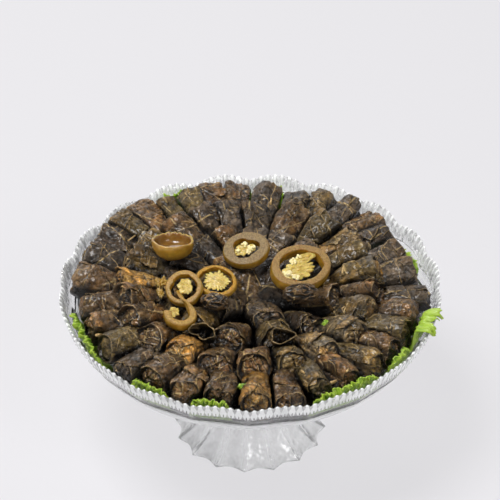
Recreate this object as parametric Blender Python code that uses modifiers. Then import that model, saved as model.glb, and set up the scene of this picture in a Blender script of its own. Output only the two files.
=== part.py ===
"""A footed pressed-glass platter heaped with stuffed vine-leaf rolls, pepper slices and frilly lettuce.

Metres, +Z up. The origin is on the table under the middle of the foot, and -Y is the front.
Clock angles are in degrees, from the back (+Y) towards the right (+X), as on a clock seen from above.
"""
import math
import random

import bpy
import bmesh
from mathutils import Matrix, Vector
from mathutils.bvhtree import BVHTree

MM = 0.001

# Glass platter
RIM_HEIGHT = 133.6 * MM
NOTCH_RADIUS = 147.4 * MM
RIM_THICKNESS = 3.4 * MM
LOBES = 20
TEETH_PER_LOBE = 8
LOBE_RISE = 4.8 * MM
LOBE_BULGE = 2.0 * MM
TOOTH_RISE = 1.7 * MM
BAND_RADIUS = 141.4 * MM
BAND_HEIGHT = 120.6 * MM
FOOT_PETALS = 16
FOOT_PETAL_TURN = 4.4
ROUND_COLUMNS = 32
BOWL_COLUMNS = 60
BAND_COLUMNS = 160

# Hollow under the foot, from the middle out: radius, height
FOOT_HOLLOW = (
    (0.0, 33.0 * MM),
    (13.0 * MM, 31.0 * MM),
    (34.0 * MM, 18.0 * MM),
)
# Petals of the foot, from the inner edge of its base out and up: radius, height, depth of the petals
FOOT_PETAL_RINGS = (
    (56.4 * MM, 0.0, 4.6 * MM),
    (60.0 * MM, 0.0, 4.6 * MM),
    (60.0 * MM, 3.2 * MM, 4.6 * MM),
    (51.5 * MM, 5.6 * MM, 1.6 * MM),
    (37.5 * MM, 24.0 * MM, 1.6 * MM),
    (26.5 * MM, 37.0 * MM, 1.2 * MM),
)
# Stem, from the foot up: radius, height
STEM = (
    (18.0 * MM, 48.0 * MM),
    (17.5 * MM, 57.0 * MM),
    (28.0 * MM, 66.4 * MM),
)
# Outer face of the bowl, from the stem out: radius, height
BOWL_OUTSIDE = (
    (60.0 * MM, 70.8 * MM),
    (90.0 * MM, 78.2 * MM),
    (112.8 * MM, 89.4 * MM),
    (132.0 * MM, 105.0 * MM),
)
# Inner face of the bowl, from the rim band down to the middle: radius, height
BOWL_INSIDE = (
    (138.4 * MM, 121.6 * MM),
    (128.2 * MM, 107.4 * MM),
    (109.0 * MM, 92.8 * MM),
    (86.5 * MM, 82.2 * MM),
    (57.0 * MM, 75.2 * MM),
    (0.0, 72.4 * MM),
)

# Rolls
ROLL_LENGTH = 55.0 * MM
ROLL_WIDTH = 25.0 * MM
ROLL_DEPTH = 23.0 * MM
ROLL_EDGE = 5.0 * MM
ROLL_UNEVEN = 0.8 * MM
SEED = 7

# Rings of rolls from the rim inwards: sides of a roll, where the outer ends lie, above the rim, how far
# the outer ends are tilted up so that each ring leans on the one outside it, and the clock angles
RINGS = (
    {"name": "outer", "sides": 7, "radius": 134.5 * MM, "height": -1.0 * MM, "tilt": 12.0, "clocks": (
        -5, 7, 17, 28, 38, 47, 57, 67, 79, 91, 103, 114, 124, 134, 146, 156, 167,
        178, 190, 202, 215, 226, 238, 251, 264, 277, 289, 300, 309, 319, 328, 337, 346)},
    {"name": "second", "sides": 7, "radius": 102.0 * MM, "height": 7.2 * MM, "tilt": 30.0, "clocks": (
        1, 22, 41, 54, 66, 81, 96, 109, 128, 146, 161, 178,
        195, 212, 229, 244, 259, 274, 289, 305, 322, 336, 349)},
    {"name": "third", "sides": 6, "radius": 69.0 * MM, "height": 6.0 * MM, "tilt": 32.0, "clocks": (
        3, 24, 45, 65, 103, 134, 163, 195, 222, 255, 280, 300, 322, 342)},
    {"name": "inner", "sides": 6, "radius": 39.0 * MM, "height": 5.0 * MM, "tilt": 30.0, "clocks": (
        45, 98, 158, 228, 275, 328)},
)
SIDE_YAW = 14.0
BACK_RISE = 2.4 * MM
SIDE_REACH = 5.0 * MM
BACK_REACH = 2.5 * MM

# Core under the rolls
CORE_GAP = 0.8 * MM
CORE_TOP = ((0.0, 116.0 * MM), (98.0 * MM, 115.0 * MM), (114.0 * MM, 113.0 * MM), (119.0 * MM, 106.0 * MM))
CORE_COLUMNS = 24

# Lettuce leaves: the clock angles that each one spans, how far its frill stands above the rim,
# and whether the frill spills out over the rim
LEAVES = (
    {"name": "lettuce_left", "clocks": (235.0, 263.0), "frill": 2.0 * MM, "spills": False},
    {"name": "lettuce_front_left", "clocks": (205.0, 222.0), "frill": 2.0 * MM, "spills": False},
    {"name": "lettuce_front", "clocks": (185.0, 200.0), "frill": 3.5 * MM, "spills": False},
    {"name": "lettuce_front_right", "clocks": (134.0, 162.0), "frill": 3.5 * MM, "spills": False},
    {"name": "lettuce_right_front", "clocks": (118.5, 131.0), "frill": 3.0 * MM, "spills": False},
    {"name": "lettuce_right", "clocks": (102.5, 116.0), "frill": 6.0 * MM, "spills": True},
    {"name": "lettuce_back_right", "clocks": (60.0, 76.0), "frill": -6.0 * MM, "spills": False},
    {"name": "lettuce_back", "clocks": (-1.0, 14.0), "frill": 2.0 * MM, "spills": False},
    {"name": "lettuce_back_left", "clocks": (327.0, 341.0), "frill": 3.0 * MM, "spills": False},
)
LEAF_THICKNESS = 0.9 * MM
LEAF_CHANNEL = 6.4 * MM
LEAF_CHANNEL_AT_RIM = 11.0 * MM
LEAF_CURL_HEIGHT = RIM_HEIGHT - 12.0 * MM
LEAF_FOOT_HEIGHT = 103.0 * MM
LEAF_ROWS = 4
LEAF_STEP = 3.2
FRILL_WAVE = 4.3 * LEAF_STEP
FRILL_RISE = 1.4 * MM
# A frill that spills: distance beyond the notch radius and height above the rim
SPILL_PATH = ((-7.0 * MM, 10.0 * MM), (1.5 * MM, 11.4 * MM), (6.0 * MM, 7.0 * MM))
SPILL_LIMIT = 147.4 * MM

# Pickled pepper: rings cut across, in the order in which they are laid down. Width, length, wall and
# thickness, then where the middle lies (across, deep), and how it leans to the front, to the side and turns
RING_SLICES = (
    {"name": "pepper_slice_middle",
     "width": 37.0 * MM, "length": 31.5 * MM, "wall": 8.2 * MM, "thick": 7.4 * MM,
     "across": -3.0 * MM, "deep": 24.0 * MM, "lean": 17.0, "side_lean": -6.0, "turn": 10.0},
    {"name": "pepper_slice_large",
     "width": 50.0 * MM, "length": 41.0 * MM, "wall": 7.0 * MM, "thick": 9.5 * MM,
     "across": 38.5 * MM, "deep": 5.0 * MM, "lean": 12.0, "side_lean": 8.0, "turn": 32.0},
    {"name": "pepper_slice_small",
     "width": 33.0 * MM, "length": 29.0 * MM, "wall": 3.6 * MM, "thick": 5.0 * MM,
     "across": -26.0 * MM, "deep": -10.0 * MM, "lean": 16.0, "side_lean": 0.0, "turn": -25.0},
    {"name": "pepper_slice_left",
     "width": 29.0 * MM, "length": 30.5 * MM, "wall": 4.2 * MM, "thick": 6.0 * MM,
     "across": -50.5 * MM, "deep": -20.0 * MM, "lean": 24.0, "side_lean": -8.0, "turn": 20.0},
)
RING_COLUMNS = 14
PEPPER_LAY_HEIGHT = 10.0 * MM

# The end of a pepper: a cup with its cut face up
CAP_WIDTH = 33.0 * MM
CAP_DEPTH = 27.0 * MM
CAP_CUT = 0.12
CAP_WALL = 0.11
CAP_HOLLOW = 0.22
CAP_ACROSS = -60.0 * MM
CAP_DEEP = 28.5 * MM
CAP_LEAN = -16.0

# A ring that was cut open and curls
CURL_ARC_POINTS = 9
CURL_TAIL_POINTS = 3
CURL_START = 170.0
CURL_SWEEP = 225.0
CURL_RADIUS = 9.8 * MM
CURL_TAIL_TIP = (-3.0 * MM, 18.0 * MM, 7.0 * MM)
CURL_HALF_WIDTH = 1.3 * MM
CURL_HALF_THICKNESS = 3.1 * MM
CURL_ACROSS = -53.0 * MM
CURL_DEEP = -50.0 * MM
CURL_LEAN = 14.0
CURL_SIDE_LEAN = 6.0

# Least gap between two pieces that touch
TOUCH_GAP = 0.3 * MM


def clear_scene():
    for old in list(bpy.data.objects):
        bpy.data.objects.remove(old, do_unlink=True)


def make_collection(name):
    collection = bpy.data.collections.new(name)
    bpy.context.scene.collection.children.link(collection)
    return collection


def make_material(name, colour, roughness, metallic=0.0, transmission=0.0):
    material = bpy.data.materials.new(name)
    material.use_nodes = True
    shader = material.node_tree.nodes["Principled BSDF"]
    shader.inputs["Base Color"].default_value = (*colour, 1.0)
    shader.inputs["Roughness"].default_value = roughness
    shader.inputs["Metallic"].default_value = metallic
    shader.inputs["Transmission Weight"].default_value = transmission
    return material


def make_object(name, bm, collection, material):
    mesh = bpy.data.meshes.new(name)
    bm.to_mesh(mesh)
    bm.free()
    mesh.materials.append(material)
    made = bpy.data.objects.new(name, mesh)
    collection.objects.link(made)
    return made


def clock_direction(clock):
    turn = math.radians(90.0 - clock)
    return Vector((math.cos(turn), math.sin(turn), 0.0))


def bowl_inside_radius(height):
    """Radius of the bowl's inner face at a height, at a notch of the rim."""
    profile = ((NOTCH_RADIUS - RIM_THICKNESS, RIM_HEIGHT),) + BOWL_INSIDE
    if height >= RIM_HEIGHT:
        return profile[0][0]
    for (high_radius, high), (low_radius, low) in zip(profile, profile[1:]):
        if height >= low:
            share = (height - low) / (high - low)
            return low_radius + share * (high_radius - low_radius)
    return 0.0


def leaf_channel(height):
    """Room between the bowl's inner face and the rolls where a lettuce leaf stands."""
    share = (height - LEAF_CURL_HEIGHT) / (RIM_HEIGHT - LEAF_CURL_HEIGHT)
    return LEAF_CHANNEL + min(1.0, max(0.0, share)) * (LEAF_CHANNEL_AT_RIM - LEAF_CHANNEL)


# Platter

def lobe(turn):
    """0 at a notch between two lobes of the rim, 1 at the middle of a lobe."""
    return abs(math.sin(0.5 * LOBES * (turn - 0.5 * math.pi)))


def petal(turn):
    """0 at the point of a petal of the foot, 1 in the hollow between two petals."""
    first_point = math.radians(-90.0 - FOOT_PETAL_TURN)
    return abs(math.sin(0.5 * FOOT_PETALS * (turn - first_point)))


def rim_ring(bm, inset):
    """The toothed edge: valleys and tips by turns, on a line that rises over each lobe."""
    count = 2 * LOBES * TEETH_PER_LOBE
    ring = []
    for column in range(count):
        turn = 2.0 * math.pi * column / count + 0.5 * math.pi
        radius = NOTCH_RADIUS + LOBE_BULGE * lobe(turn) - inset
        height = RIM_HEIGHT + LOBE_RISE * lobe(turn) + TOOTH_RISE * (column % 2)
        ring.append(bm.verts.new((radius * math.cos(turn), radius * math.sin(turn), height)))
    return ring


def plain_ring(bm, count, radius, height, bulge=0.0):
    ring = []
    for column in range(count):
        turn = 2.0 * math.pi * column / count + 0.5 * math.pi
        far = radius + bulge * lobe(turn)
        ring.append(bm.verts.new((far * math.cos(turn), far * math.sin(turn), height)))
    return ring


def foot_ring(bm, radius, height, depth):
    """A ring of the foot with a pointed petal every fourth column."""
    count = 4 * FOOT_PETALS
    start = math.radians(-90.0 - FOOT_PETAL_TURN)
    ring = []
    for column in range(count):
        turn = start + 2.0 * math.pi * column / count
        far = radius - depth * petal(turn)
        ring.append(bm.verts.new((far * math.cos(turn), far * math.sin(turn), height)))
    return ring


def turn_of(vert):
    return math.atan2(vert.co.y, vert.co.x) % (2.0 * math.pi)


def loft(bm, first, second):
    """Triangles between two closed rings, which may have unlike numbers of columns."""
    rings = []
    for ring in (first, second):
        start = min(range(len(ring)), key=lambda i: turn_of(ring[i]))
        rings.append(ring[start:] + ring[:start])
    first, second = rings
    i = 0
    j = 0
    while i < len(first) or j < len(second):
        next_first = turn_of(first[i + 1]) if i + 1 < len(first) else turn_of(first[0]) + 2.0 * math.pi
        next_second = turn_of(second[j + 1]) if j + 1 < len(second) else turn_of(second[0]) + 2.0 * math.pi
        here_first = first[i % len(first)]
        here_second = second[j % len(second)]
        if j >= len(second) or (i < len(first) and next_first <= next_second):
            bm.faces.new((here_first, first[(i + 1) % len(first)], here_second))
            i += 1
        else:
            bm.faces.new((here_first, second[(j + 1) % len(second)], here_second))
            j += 1


def fan(bm, ring, centre, outwards):
    """Closes a ring with triangles to one middle point."""
    for here, after in zip(ring, ring[1:] + ring[:1]):
        bm.faces.new((centre, after, here) if outwards else (centre, here, after))


def make_platter(collection):
    """One solid: a hollow petalled foot, a stem, and a shallow bowl with a lobed, toothed rim."""
    bm = bmesh.new()
    hollow_middle = bm.verts.new((0.0, 0.0, FOOT_HOLLOW[0][1]))
    rings = [plain_ring(bm, ROUND_COLUMNS, radius, height) for radius, height in FOOT_HOLLOW[1:]]
    rings += [foot_ring(bm, radius, height, depth) for radius, height, depth in FOOT_PETAL_RINGS]
    rings += [plain_ring(bm, ROUND_COLUMNS, radius, height) for radius, height in STEM]
    rings += [plain_ring(bm, BOWL_COLUMNS, radius, height) for radius, height in BOWL_OUTSIDE]
    rings.append(plain_ring(bm, BAND_COLUMNS, BAND_RADIUS, BAND_HEIGHT, bulge=0.4 * LOBE_BULGE))
    rings.append(rim_ring(bm, 0.0))
    rings.append(rim_ring(bm, RIM_THICKNESS))
    rings += [plain_ring(bm, BOWL_COLUMNS, radius, height) for radius, height in BOWL_INSIDE[:-1]]
    fan(bm, rings[0], hollow_middle, outwards=True)
    for lower, upper in zip(rings, rings[1:]):
        loft(bm, lower, upper)
    bowl_middle = bm.verts.new((0.0, 0.0, BOWL_INSIDE[-1][1]))
    fan(bm, rings[-1], bowl_middle, outwards=False)
    glass = make_material("clear_glass", (0.93, 0.95, 0.94), 0.03, transmission=1.0)
    platter = make_object("glass_platter", bm, collection, glass)
    platter.data.shade_smooth()
    platter.data.set_sharp_from_angle(angle=math.radians(30.0))
    return platter


# Rolls

def roll_places():
    """Each roll's ring, clock, outer end, tilt and yaw in degrees, length, width and depth."""
    rng = random.Random(SEED)
    rolls = []
    for ring in RINGS:
        for number, clock in enumerate(ring["clocks"]):
            side = math.sin(math.radians(clock))
            back = math.cos(math.radians(clock))
            size = rng.uniform(0.94, 1.05)
            length = ROLL_LENGTH * rng.uniform(0.92, 1.02)
            radius = ring["radius"] + rng.uniform(-1.5, 1.5) * MM
            height = ring["height"] + rng.uniform(-1.4, 1.4) * MM + BACK_RISE * back
            tilt = ring["tilt"] + rng.uniform(-4.0, 4.0)
            yaw = rng.uniform(-6.0, 6.0)
            if ring["name"] == "outer":
                radius += SIDE_REACH * side * side + BACK_REACH * back
            else:
                yaw -= SIDE_YAW * side
            rolls.append({"ring": ring["name"], "sides": ring["sides"], "number": number, "clock": clock,
                          "radius": radius, "height": RIM_HEIGHT + height, "tilt": tilt, "yaw": yaw,
                          "length": length, "width": ROLL_WIDTH * size, "depth": ROLL_DEPTH * size})
    return rolls


def roll_mesh(rng, roll):
    """A stubby drum along X, with its rounded outer end at the origin and its covered inner end at -X."""
    bm = bmesh.new()
    sides = roll["sides"]
    length = roll["length"]
    bmesh.ops.create_cone(bm, cap_ends=True, segments=sides, radius1=0.5, radius2=0.5, depth=length)
    bmesh.ops.rotate(bm, verts=bm.verts, matrix=Matrix.Rotation(math.pi / sides, 3, 'Z'))
    ends = [edge for edge in bm.edges if min(edge.verts[0].co.z, edge.verts[1].co.z) > 0.0]
    bmesh.ops.scale(bm, verts=bm.verts, vec=(roll["depth"], roll["width"], 1.0))
    bmesh.ops.bevel(bm, geom=ends, offset=ROLL_EDGE, segments=1, profile=0.5, affect='EDGES', material=-1)
    bmesh.ops.rotate(bm, verts=bm.verts, matrix=Matrix.Rotation(0.5 * math.pi, 3, 'Y'))
    bmesh.ops.translate(bm, verts=bm.verts, vec=(-0.5 * length, 0.0, 0.0))
    for vert in bm.verts:
        vert.co += Vector([rng.uniform(-ROLL_UNEVEN, ROLL_UNEVEN) for _ in range(3)])
    bmesh.ops.triangulate(bm, faces=bm.faces)
    return bm


def place_roll(bm, roll):
    """Puts the outer end at its radius and height, tilted up and outwards, turned by the yaw."""
    out = clock_direction(roll["clock"])
    heading = math.atan2(out.y, out.x) + math.radians(roll["yaw"])
    turned = Matrix.Rotation(heading, 4, 'Z') @ Matrix.Rotation(-math.radians(roll["tilt"]), 4, 'Y')
    placed = Matrix.Translation(out * roll["radius"] + Vector((0.0, 0.0, roll["height"]))) @ turned
    bmesh.ops.transform(bm, matrix=placed, verts=bm.verts)


def keep_off_wall(bm, clock, channel):
    """Slides a roll inwards until it clears the rim, then lets its lower end follow the bowl."""
    def excess(vert):
        return math.hypot(vert.co.x, vert.co.y) - bowl_inside_radius(vert.co.z) + channel(vert.co.z)

    near_rim = [excess(vert) for vert in bm.verts if vert.co.z > RIM_HEIGHT - 8.0 * MM]
    slide = max(near_rim, default=0.0)
    if slide > 0.0:
        bmesh.ops.translate(bm, verts=bm.verts, vec=-slide * clock_direction(clock))
    for vert in bm.verts:
        over = excess(vert)
        if over > 0.0:
            reach = math.hypot(vert.co.x, vert.co.y)
            vert.co.x *= (reach - over) / reach
            vert.co.y *= (reach - over) / reach


def clock_between(clock, low, high):
    return (clock - low) % 360.0 <= (high - low) % 360.0


def stands_at(leaf, clock):
    low, high = leaf["clocks"]
    return clock_between(clock, low - 3.0, high + 3.0)


def bare_gap(height):
    return 2.0 * TOUCH_GAP


def make_rolls(collection, material):
    rng = random.Random(SEED + 1)
    for roll in roll_places():
        bm = roll_mesh(rng, roll)
        place_roll(bm, roll)
        if roll["ring"] == "outer":
            leafy = any(stands_at(leaf, roll["clock"]) for leaf in LEAVES)
            keep_off_wall(bm, roll["clock"], leaf_channel if leafy else bare_gap)
        make_object(f"{roll['ring']}_roll_{roll['number']}", bm, collection, material)


def core_object(collection, material):
    """What lies under the rolls: a turned mass that fills the bowl and stops short of the rim."""
    profile = list(CORE_TOP)
    profile += [(radius - CORE_GAP, height + CORE_GAP) for radius, height in BOWL_INSIDE[2:-1]]
    profile.append((0.0, BOWL_INSIDE[-1][1] + CORE_GAP))
    bm = bmesh.new()
    verts = [bm.verts.new((radius, 0.0, height)) for radius, height in profile]
    for upper, lower in zip(verts, verts[1:]):
        bm.edges.new((upper, lower))
    core = make_object("core", bm, collection, material)
    turned = core.modifiers.new("turned", 'SCREW')
    turned.steps = CORE_COLUMNS
    turned.render_steps = CORE_COLUMNS
    turned.use_merge_vertices = True
    turned.merge_threshold = 0.00005
    return core


def signed_volume(verts_of_faces):
    return sum(a.dot(b.cross(c)) for a, b, c in verts_of_faces) / 6.0


def keep_largest_shell(mesh):
    """Drops loose scraps, and fills sealed hollows by dropping their inner shells."""
    bm = bmesh.new()
    bm.from_mesh(mesh)
    bmesh.ops.triangulate(bm, faces=bm.faces)
    left = set(bm.faces)
    shells = []
    while left:
        shell = {left.pop()}
        edge_of_shell = list(shell)
        while edge_of_shell:
            face = edge_of_shell.pop()
            for edge in face.edges:
                for beside in edge.link_faces:
                    if beside in left:
                        left.remove(beside)
                        shell.add(beside)
                        edge_of_shell.append(beside)
        shells.append(list(shell))
    shells.sort(key=lambda faces: -signed_volume([[v.co for v in f.verts] for f in faces]))
    scraps = [face for shell in shells[1:] for face in shell]
    bmesh.ops.delete(bm, geom=scraps, context='FACES')
    bm.to_mesh(mesh)
    bm.free()


def union_into(target, pieces):
    """Joins the collection's objects to the target in one Boolean, then removes them."""
    joined = target.modifiers.new("joined", 'BOOLEAN')
    joined.operation = 'UNION'
    joined.operand_type = 'COLLECTION'
    joined.collection = pieces
    joined.solver = 'EXACT'
    depsgraph = bpy.context.evaluated_depsgraph_get()
    mesh = bpy.data.meshes.new_from_object(target.evaluated_get(depsgraph))
    target.modifiers.clear()
    target.data = mesh
    for piece in list(pieces.objects):
        bpy.data.objects.remove(piece, do_unlink=True)
    bpy.data.collections.remove(pieces)
    keep_largest_shell(mesh)


def make_heap(collection):
    """The heap of rolls as one node: a core with every roll that shows fused on."""
    leaf_skin = make_material("vine_leaf", (0.13, 0.105, 0.07), 0.42)
    heap = core_object(collection, leaf_skin)
    heap.name = "roll_heap"
    pieces = make_collection("rolls_to_join")
    make_rolls(pieces, leaf_skin)
    union_into(heap, pieces)
    heap.data.name = heap.name
    heap.data.shade_smooth()
    heap.data.set_sharp_from_angle(angle=math.radians(40.0))
    return heap


# Lettuce

def leaf_mesh(low, high, frill_top, spills):
    """A wavy sheet that stands against the bowl's inner face; its frill curls in, or out over the rim."""
    columns = max(5, round((high - low) / LEAF_STEP))
    rows = LEAF_ROWS + (len(SPILL_PATH) if spills else 0)
    bm = bmesh.new()
    bmesh.ops.create_grid(bm, x_segments=columns, y_segments=rows - 1, size=0.5)
    top = RIM_HEIGHT + frill_top
    for vert in bm.verts:
        across = vert.co.x + 0.5
        row = round((vert.co.y + 0.5) * (rows - 1))
        clock = low + across * (high - low)
        rounded = 1.0 - 0.5 * (2.0 * across - 1.0) ** 6
        wave = math.sin(2.0 * math.pi * clock / FRILL_WAVE)
        if row < LEAF_ROWS:
            up = row / (LEAF_ROWS - 1)
            height = LEAF_FOOT_HEIGHT + (top - LEAF_FOOT_HEIGHT) * up * rounded + FRILL_RISE * up ** 3 * wave
            channel = leaf_channel(height)
            swing = 0.5 * channel - 2.0 * TOUCH_GAP - 0.5 * LEAF_THICKNESS
            reach = bowl_inside_radius(height) - 0.5 * channel + swing * (0.1 + 0.7 * up) * wave
        else:
            beyond, above = SPILL_PATH[row - LEAF_ROWS]
            height = RIM_HEIGHT + above * (0.7 + 0.3 * rounded) + FRILL_RISE * wave
            reach = min(NOTCH_RADIUS + beyond, SPILL_LIMIT / abs(clock_direction(clock).x))
        vert.co = clock_direction(clock) * reach + Vector((0.0, 0.0, height))
    bmesh.ops.triangulate(bm, faces=bm.faces)
    return bm


def make_lettuce(collection):
    green = make_material("lettuce_leaf", (0.36, 0.52, 0.07), 0.5)
    for leaf in LEAVES:
        shape = leaf_mesh(*leaf["clocks"], leaf["frill"], leaf["spills"])
        sheet = make_object(leaf["name"], shape, collection, green)
        body = sheet.modifiers.new("body", 'SOLIDIFY')
        body.thickness = LEAF_THICKNESS
        body.offset = 0.0
        body.use_even_offset = False


# Pickled pepper

def pepper_ring(width, length, wall, thick):
    """An oval slice of a pickled pepper, lying flat: a ring of wall."""
    bm = bmesh.new()
    half = 0.5 * thick
    outer = 0.5
    edge = 0.48
    inner = 0.5 - wall / width
    section = ((edge, half), (outer, 0.0), (edge, -half), (inner, -half), (inner, half))
    verts = [bm.verts.new((radius, 0.0, height)) for radius, height in section]
    edges = [bm.edges.new((a, b)) for a, b in zip(verts, verts[1:] + verts[:1])]
    bmesh.ops.spin(bm, geom=verts + edges, cent=(0.0, 0.0, 0.0), axis=(0.0, 0.0, 1.0),
                   angle=2.0 * math.pi, steps=RING_COLUMNS, use_merge=True)
    bmesh.ops.remove_doubles(bm, verts=bm.verts, dist=0.0001)
    bmesh.ops.scale(bm, verts=bm.verts, vec=(width, length, 1.0))
    bmesh.ops.recalc_face_normals(bm, faces=bm.faces)
    return bm


def seed_core(width, length, wall, thick):
    """The pale seed core of a slice: a low bar across the hole that meets the wall at both ends."""
    bm = bmesh.new()
    bmesh.ops.create_uvsphere(bm, u_segments=8, v_segments=5, radius=0.5)
    size = (width - 1.2 * wall, 0.62 * (length - 2.0 * wall), 0.9 * thick)
    bmesh.ops.scale(bm, verts=bm.verts, vec=size)
    return bm


def pepper_cap():
    """The end of a pepper: a rounded cup with its cut face up."""
    bm = bmesh.new()
    bmesh.ops.create_uvsphere(bm, u_segments=16, v_segments=10, radius=0.5)
    cut = bmesh.ops.bisect_plane(bm, geom=bm.verts[:] + bm.edges[:] + bm.faces[:],
                                 plane_co=(0.0, 0.0, CAP_CUT), plane_no=(0.0, 0.0, 1.0), clear_outer=True)
    rim = [item for item in cut["geom_cut"] if isinstance(item, bmesh.types.BMEdge)]
    top = bmesh.ops.contextual_create(bm, geom=rim)["faces"]
    bmesh.ops.inset_region(bm, faces=top, thickness=CAP_WALL)
    bmesh.ops.translate(bm, verts=top[0].verts, vec=(0.0, 0.0, -CAP_HOLLOW))
    bmesh.ops.scale(bm, verts=bm.verts, vec=(CAP_WIDTH, CAP_WIDTH, CAP_DEPTH))
    bmesh.ops.recalc_face_normals(bm, faces=bm.faces)
    return bm


def pepper_curl():
    """A ring that was cut open: a ribbon that curls round and trails off to a raised tip."""
    curve = bpy.data.curves.new("curl", 'CURVE')
    curve.dimensions = '3D'
    curve.extrude = CURL_HALF_WIDTH
    curve.bevel_depth = CURL_HALF_THICKNESS
    curve.bevel_resolution = 0
    curve.use_fill_caps = True
    spline = curve.splines.new('POLY')
    spline.points.add(CURL_ARC_POINTS + CURL_TAIL_POINTS - 1)
    for number in range(CURL_ARC_POINTS):
        turn = math.radians(CURL_START + CURL_SWEEP * number / (CURL_ARC_POINTS - 1))
        arc_end = Vector((CURL_RADIUS * math.cos(turn), CURL_RADIUS * math.sin(turn), 0.0))
        spline.points[number].co = (*arc_end, 1.0)
    for number in range(CURL_TAIL_POINTS):
        place = arc_end.lerp(Vector(CURL_TAIL_TIP), (number + 1) / CURL_TAIL_POINTS)
        spline.points[CURL_ARC_POINTS + number].co = (*place, 1.0)
    return curve


def mesh_of_curve(curve):
    ribbon = bpy.data.objects.new("ribbon", curve)
    bpy.context.scene.collection.objects.link(ribbon)
    depsgraph = bpy.context.evaluated_depsgraph_get()
    mesh = bpy.data.meshes.new_from_object(ribbon.evaluated_get(depsgraph))
    bpy.data.objects.remove(ribbon, do_unlink=True)
    bm = bmesh.new()
    bm.from_mesh(mesh)
    bmesh.ops.remove_doubles(bm, verts=bm.verts, dist=0.00005)
    bmesh.ops.recalc_face_normals(bm, faces=bm.faces)
    return bm


def tree_of(made):
    bm = bmesh.new()
    bm.from_mesh(made.data)
    bm.transform(made.matrix_world)
    tree = BVHTree.FromBMesh(bm)
    bm.free()
    return tree


def rest_on(made, below):
    """Lifts a piece in small steps until it clears everything below it."""
    trees = [tree_of(thing) for thing in below]
    while any(tree_of(made).overlap(tree) for tree in trees):
        for vert in made.data.vertices:
            vert.co.z += TOUCH_GAP
    for vert in made.data.vertices:
        vert.co.z += 0.5 * TOUCH_GAP


def lay_down(bm, across, deep, lean, side_lean=0.0, turn=0.0):
    """Turns a flat slice, leans it to a side and to the front, and puts its middle over the heap."""
    placed = (Matrix.Translation((across, deep, RIM_HEIGHT + PEPPER_LAY_HEIGHT))
              @ Matrix.Rotation(math.radians(lean), 4, 'X')
              @ Matrix.Rotation(math.radians(side_lean), 4, 'Y')
              @ Matrix.Rotation(math.radians(turn), 4, 'Z'))
    bmesh.ops.transform(bm, matrix=placed, verts=bm.verts)


def make_slice(cut, collection, flesh):
    """A ring of pepper wall with its seed core fused in."""
    sizes = (cut["width"], cut["length"], cut["wall"], cut["thick"])
    place = (cut["across"], cut["deep"], cut["lean"], cut["side_lean"], cut["turn"])
    ring = pepper_ring(*sizes)
    lay_down(ring, *place)
    core = seed_core(*sizes)
    lay_down(core, *place)
    pepper = make_object(cut["name"], ring, collection, flesh)
    cores = make_collection("seed_core")
    make_object("seed_core", core, cores, flesh)
    union_into(pepper, cores)
    return pepper


def make_peppers(collection, heap):
    flesh = make_material("pickled_pepper", (0.45, 0.30, 0.05), 0.25)
    made = [make_slice(cut, collection, flesh) for cut in RING_SLICES]
    cap = pepper_cap()
    lay_down(cap, CAP_ACROSS, CAP_DEEP, CAP_LEAN)
    made.append(make_object("pepper_end", cap, collection, flesh))
    curl = mesh_of_curve(pepper_curl())
    lay_down(curl, CURL_ACROSS, CURL_DEEP, CURL_LEAN, CURL_SIDE_LEAN)
    made.append(make_object("pepper_curl", curl, collection, flesh))
    below = [heap]
    for pepper in made:
        rest_on(pepper, below)
        below.append(pepper)
        pepper.data.shade_smooth()
        pepper.data.set_sharp_from_angle(angle=math.radians(40.0))


def main():
    clear_scene()
    parts = make_collection("dolma_platter")
    make_platter(parts)
    heap = make_heap(parts)
    make_lettuce(parts)
    make_peppers(parts, heap)


main()
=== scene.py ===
import itertools
import math
import random

import bmesh
import bpy
import numpy as np
from mathutils import Matrix, Vector
from mathutils.bvhtree import BVHTree
from mathutils.kdtree import KDTree


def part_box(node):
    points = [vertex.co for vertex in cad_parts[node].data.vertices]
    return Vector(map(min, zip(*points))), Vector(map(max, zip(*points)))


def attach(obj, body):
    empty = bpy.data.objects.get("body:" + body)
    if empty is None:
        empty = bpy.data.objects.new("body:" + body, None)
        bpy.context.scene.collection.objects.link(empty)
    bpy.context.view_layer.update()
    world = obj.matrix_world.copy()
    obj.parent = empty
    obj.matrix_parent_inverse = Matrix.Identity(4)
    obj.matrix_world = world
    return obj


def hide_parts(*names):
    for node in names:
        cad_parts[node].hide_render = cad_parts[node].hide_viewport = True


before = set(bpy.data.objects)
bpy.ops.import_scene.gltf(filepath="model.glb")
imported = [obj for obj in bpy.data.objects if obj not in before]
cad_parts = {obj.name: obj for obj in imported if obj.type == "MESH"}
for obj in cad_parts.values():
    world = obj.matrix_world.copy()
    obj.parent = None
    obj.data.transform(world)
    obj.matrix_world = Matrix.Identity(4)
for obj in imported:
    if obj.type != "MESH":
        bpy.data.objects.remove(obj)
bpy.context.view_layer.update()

MM = 0.001

# Sizes shared with the solids

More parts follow.
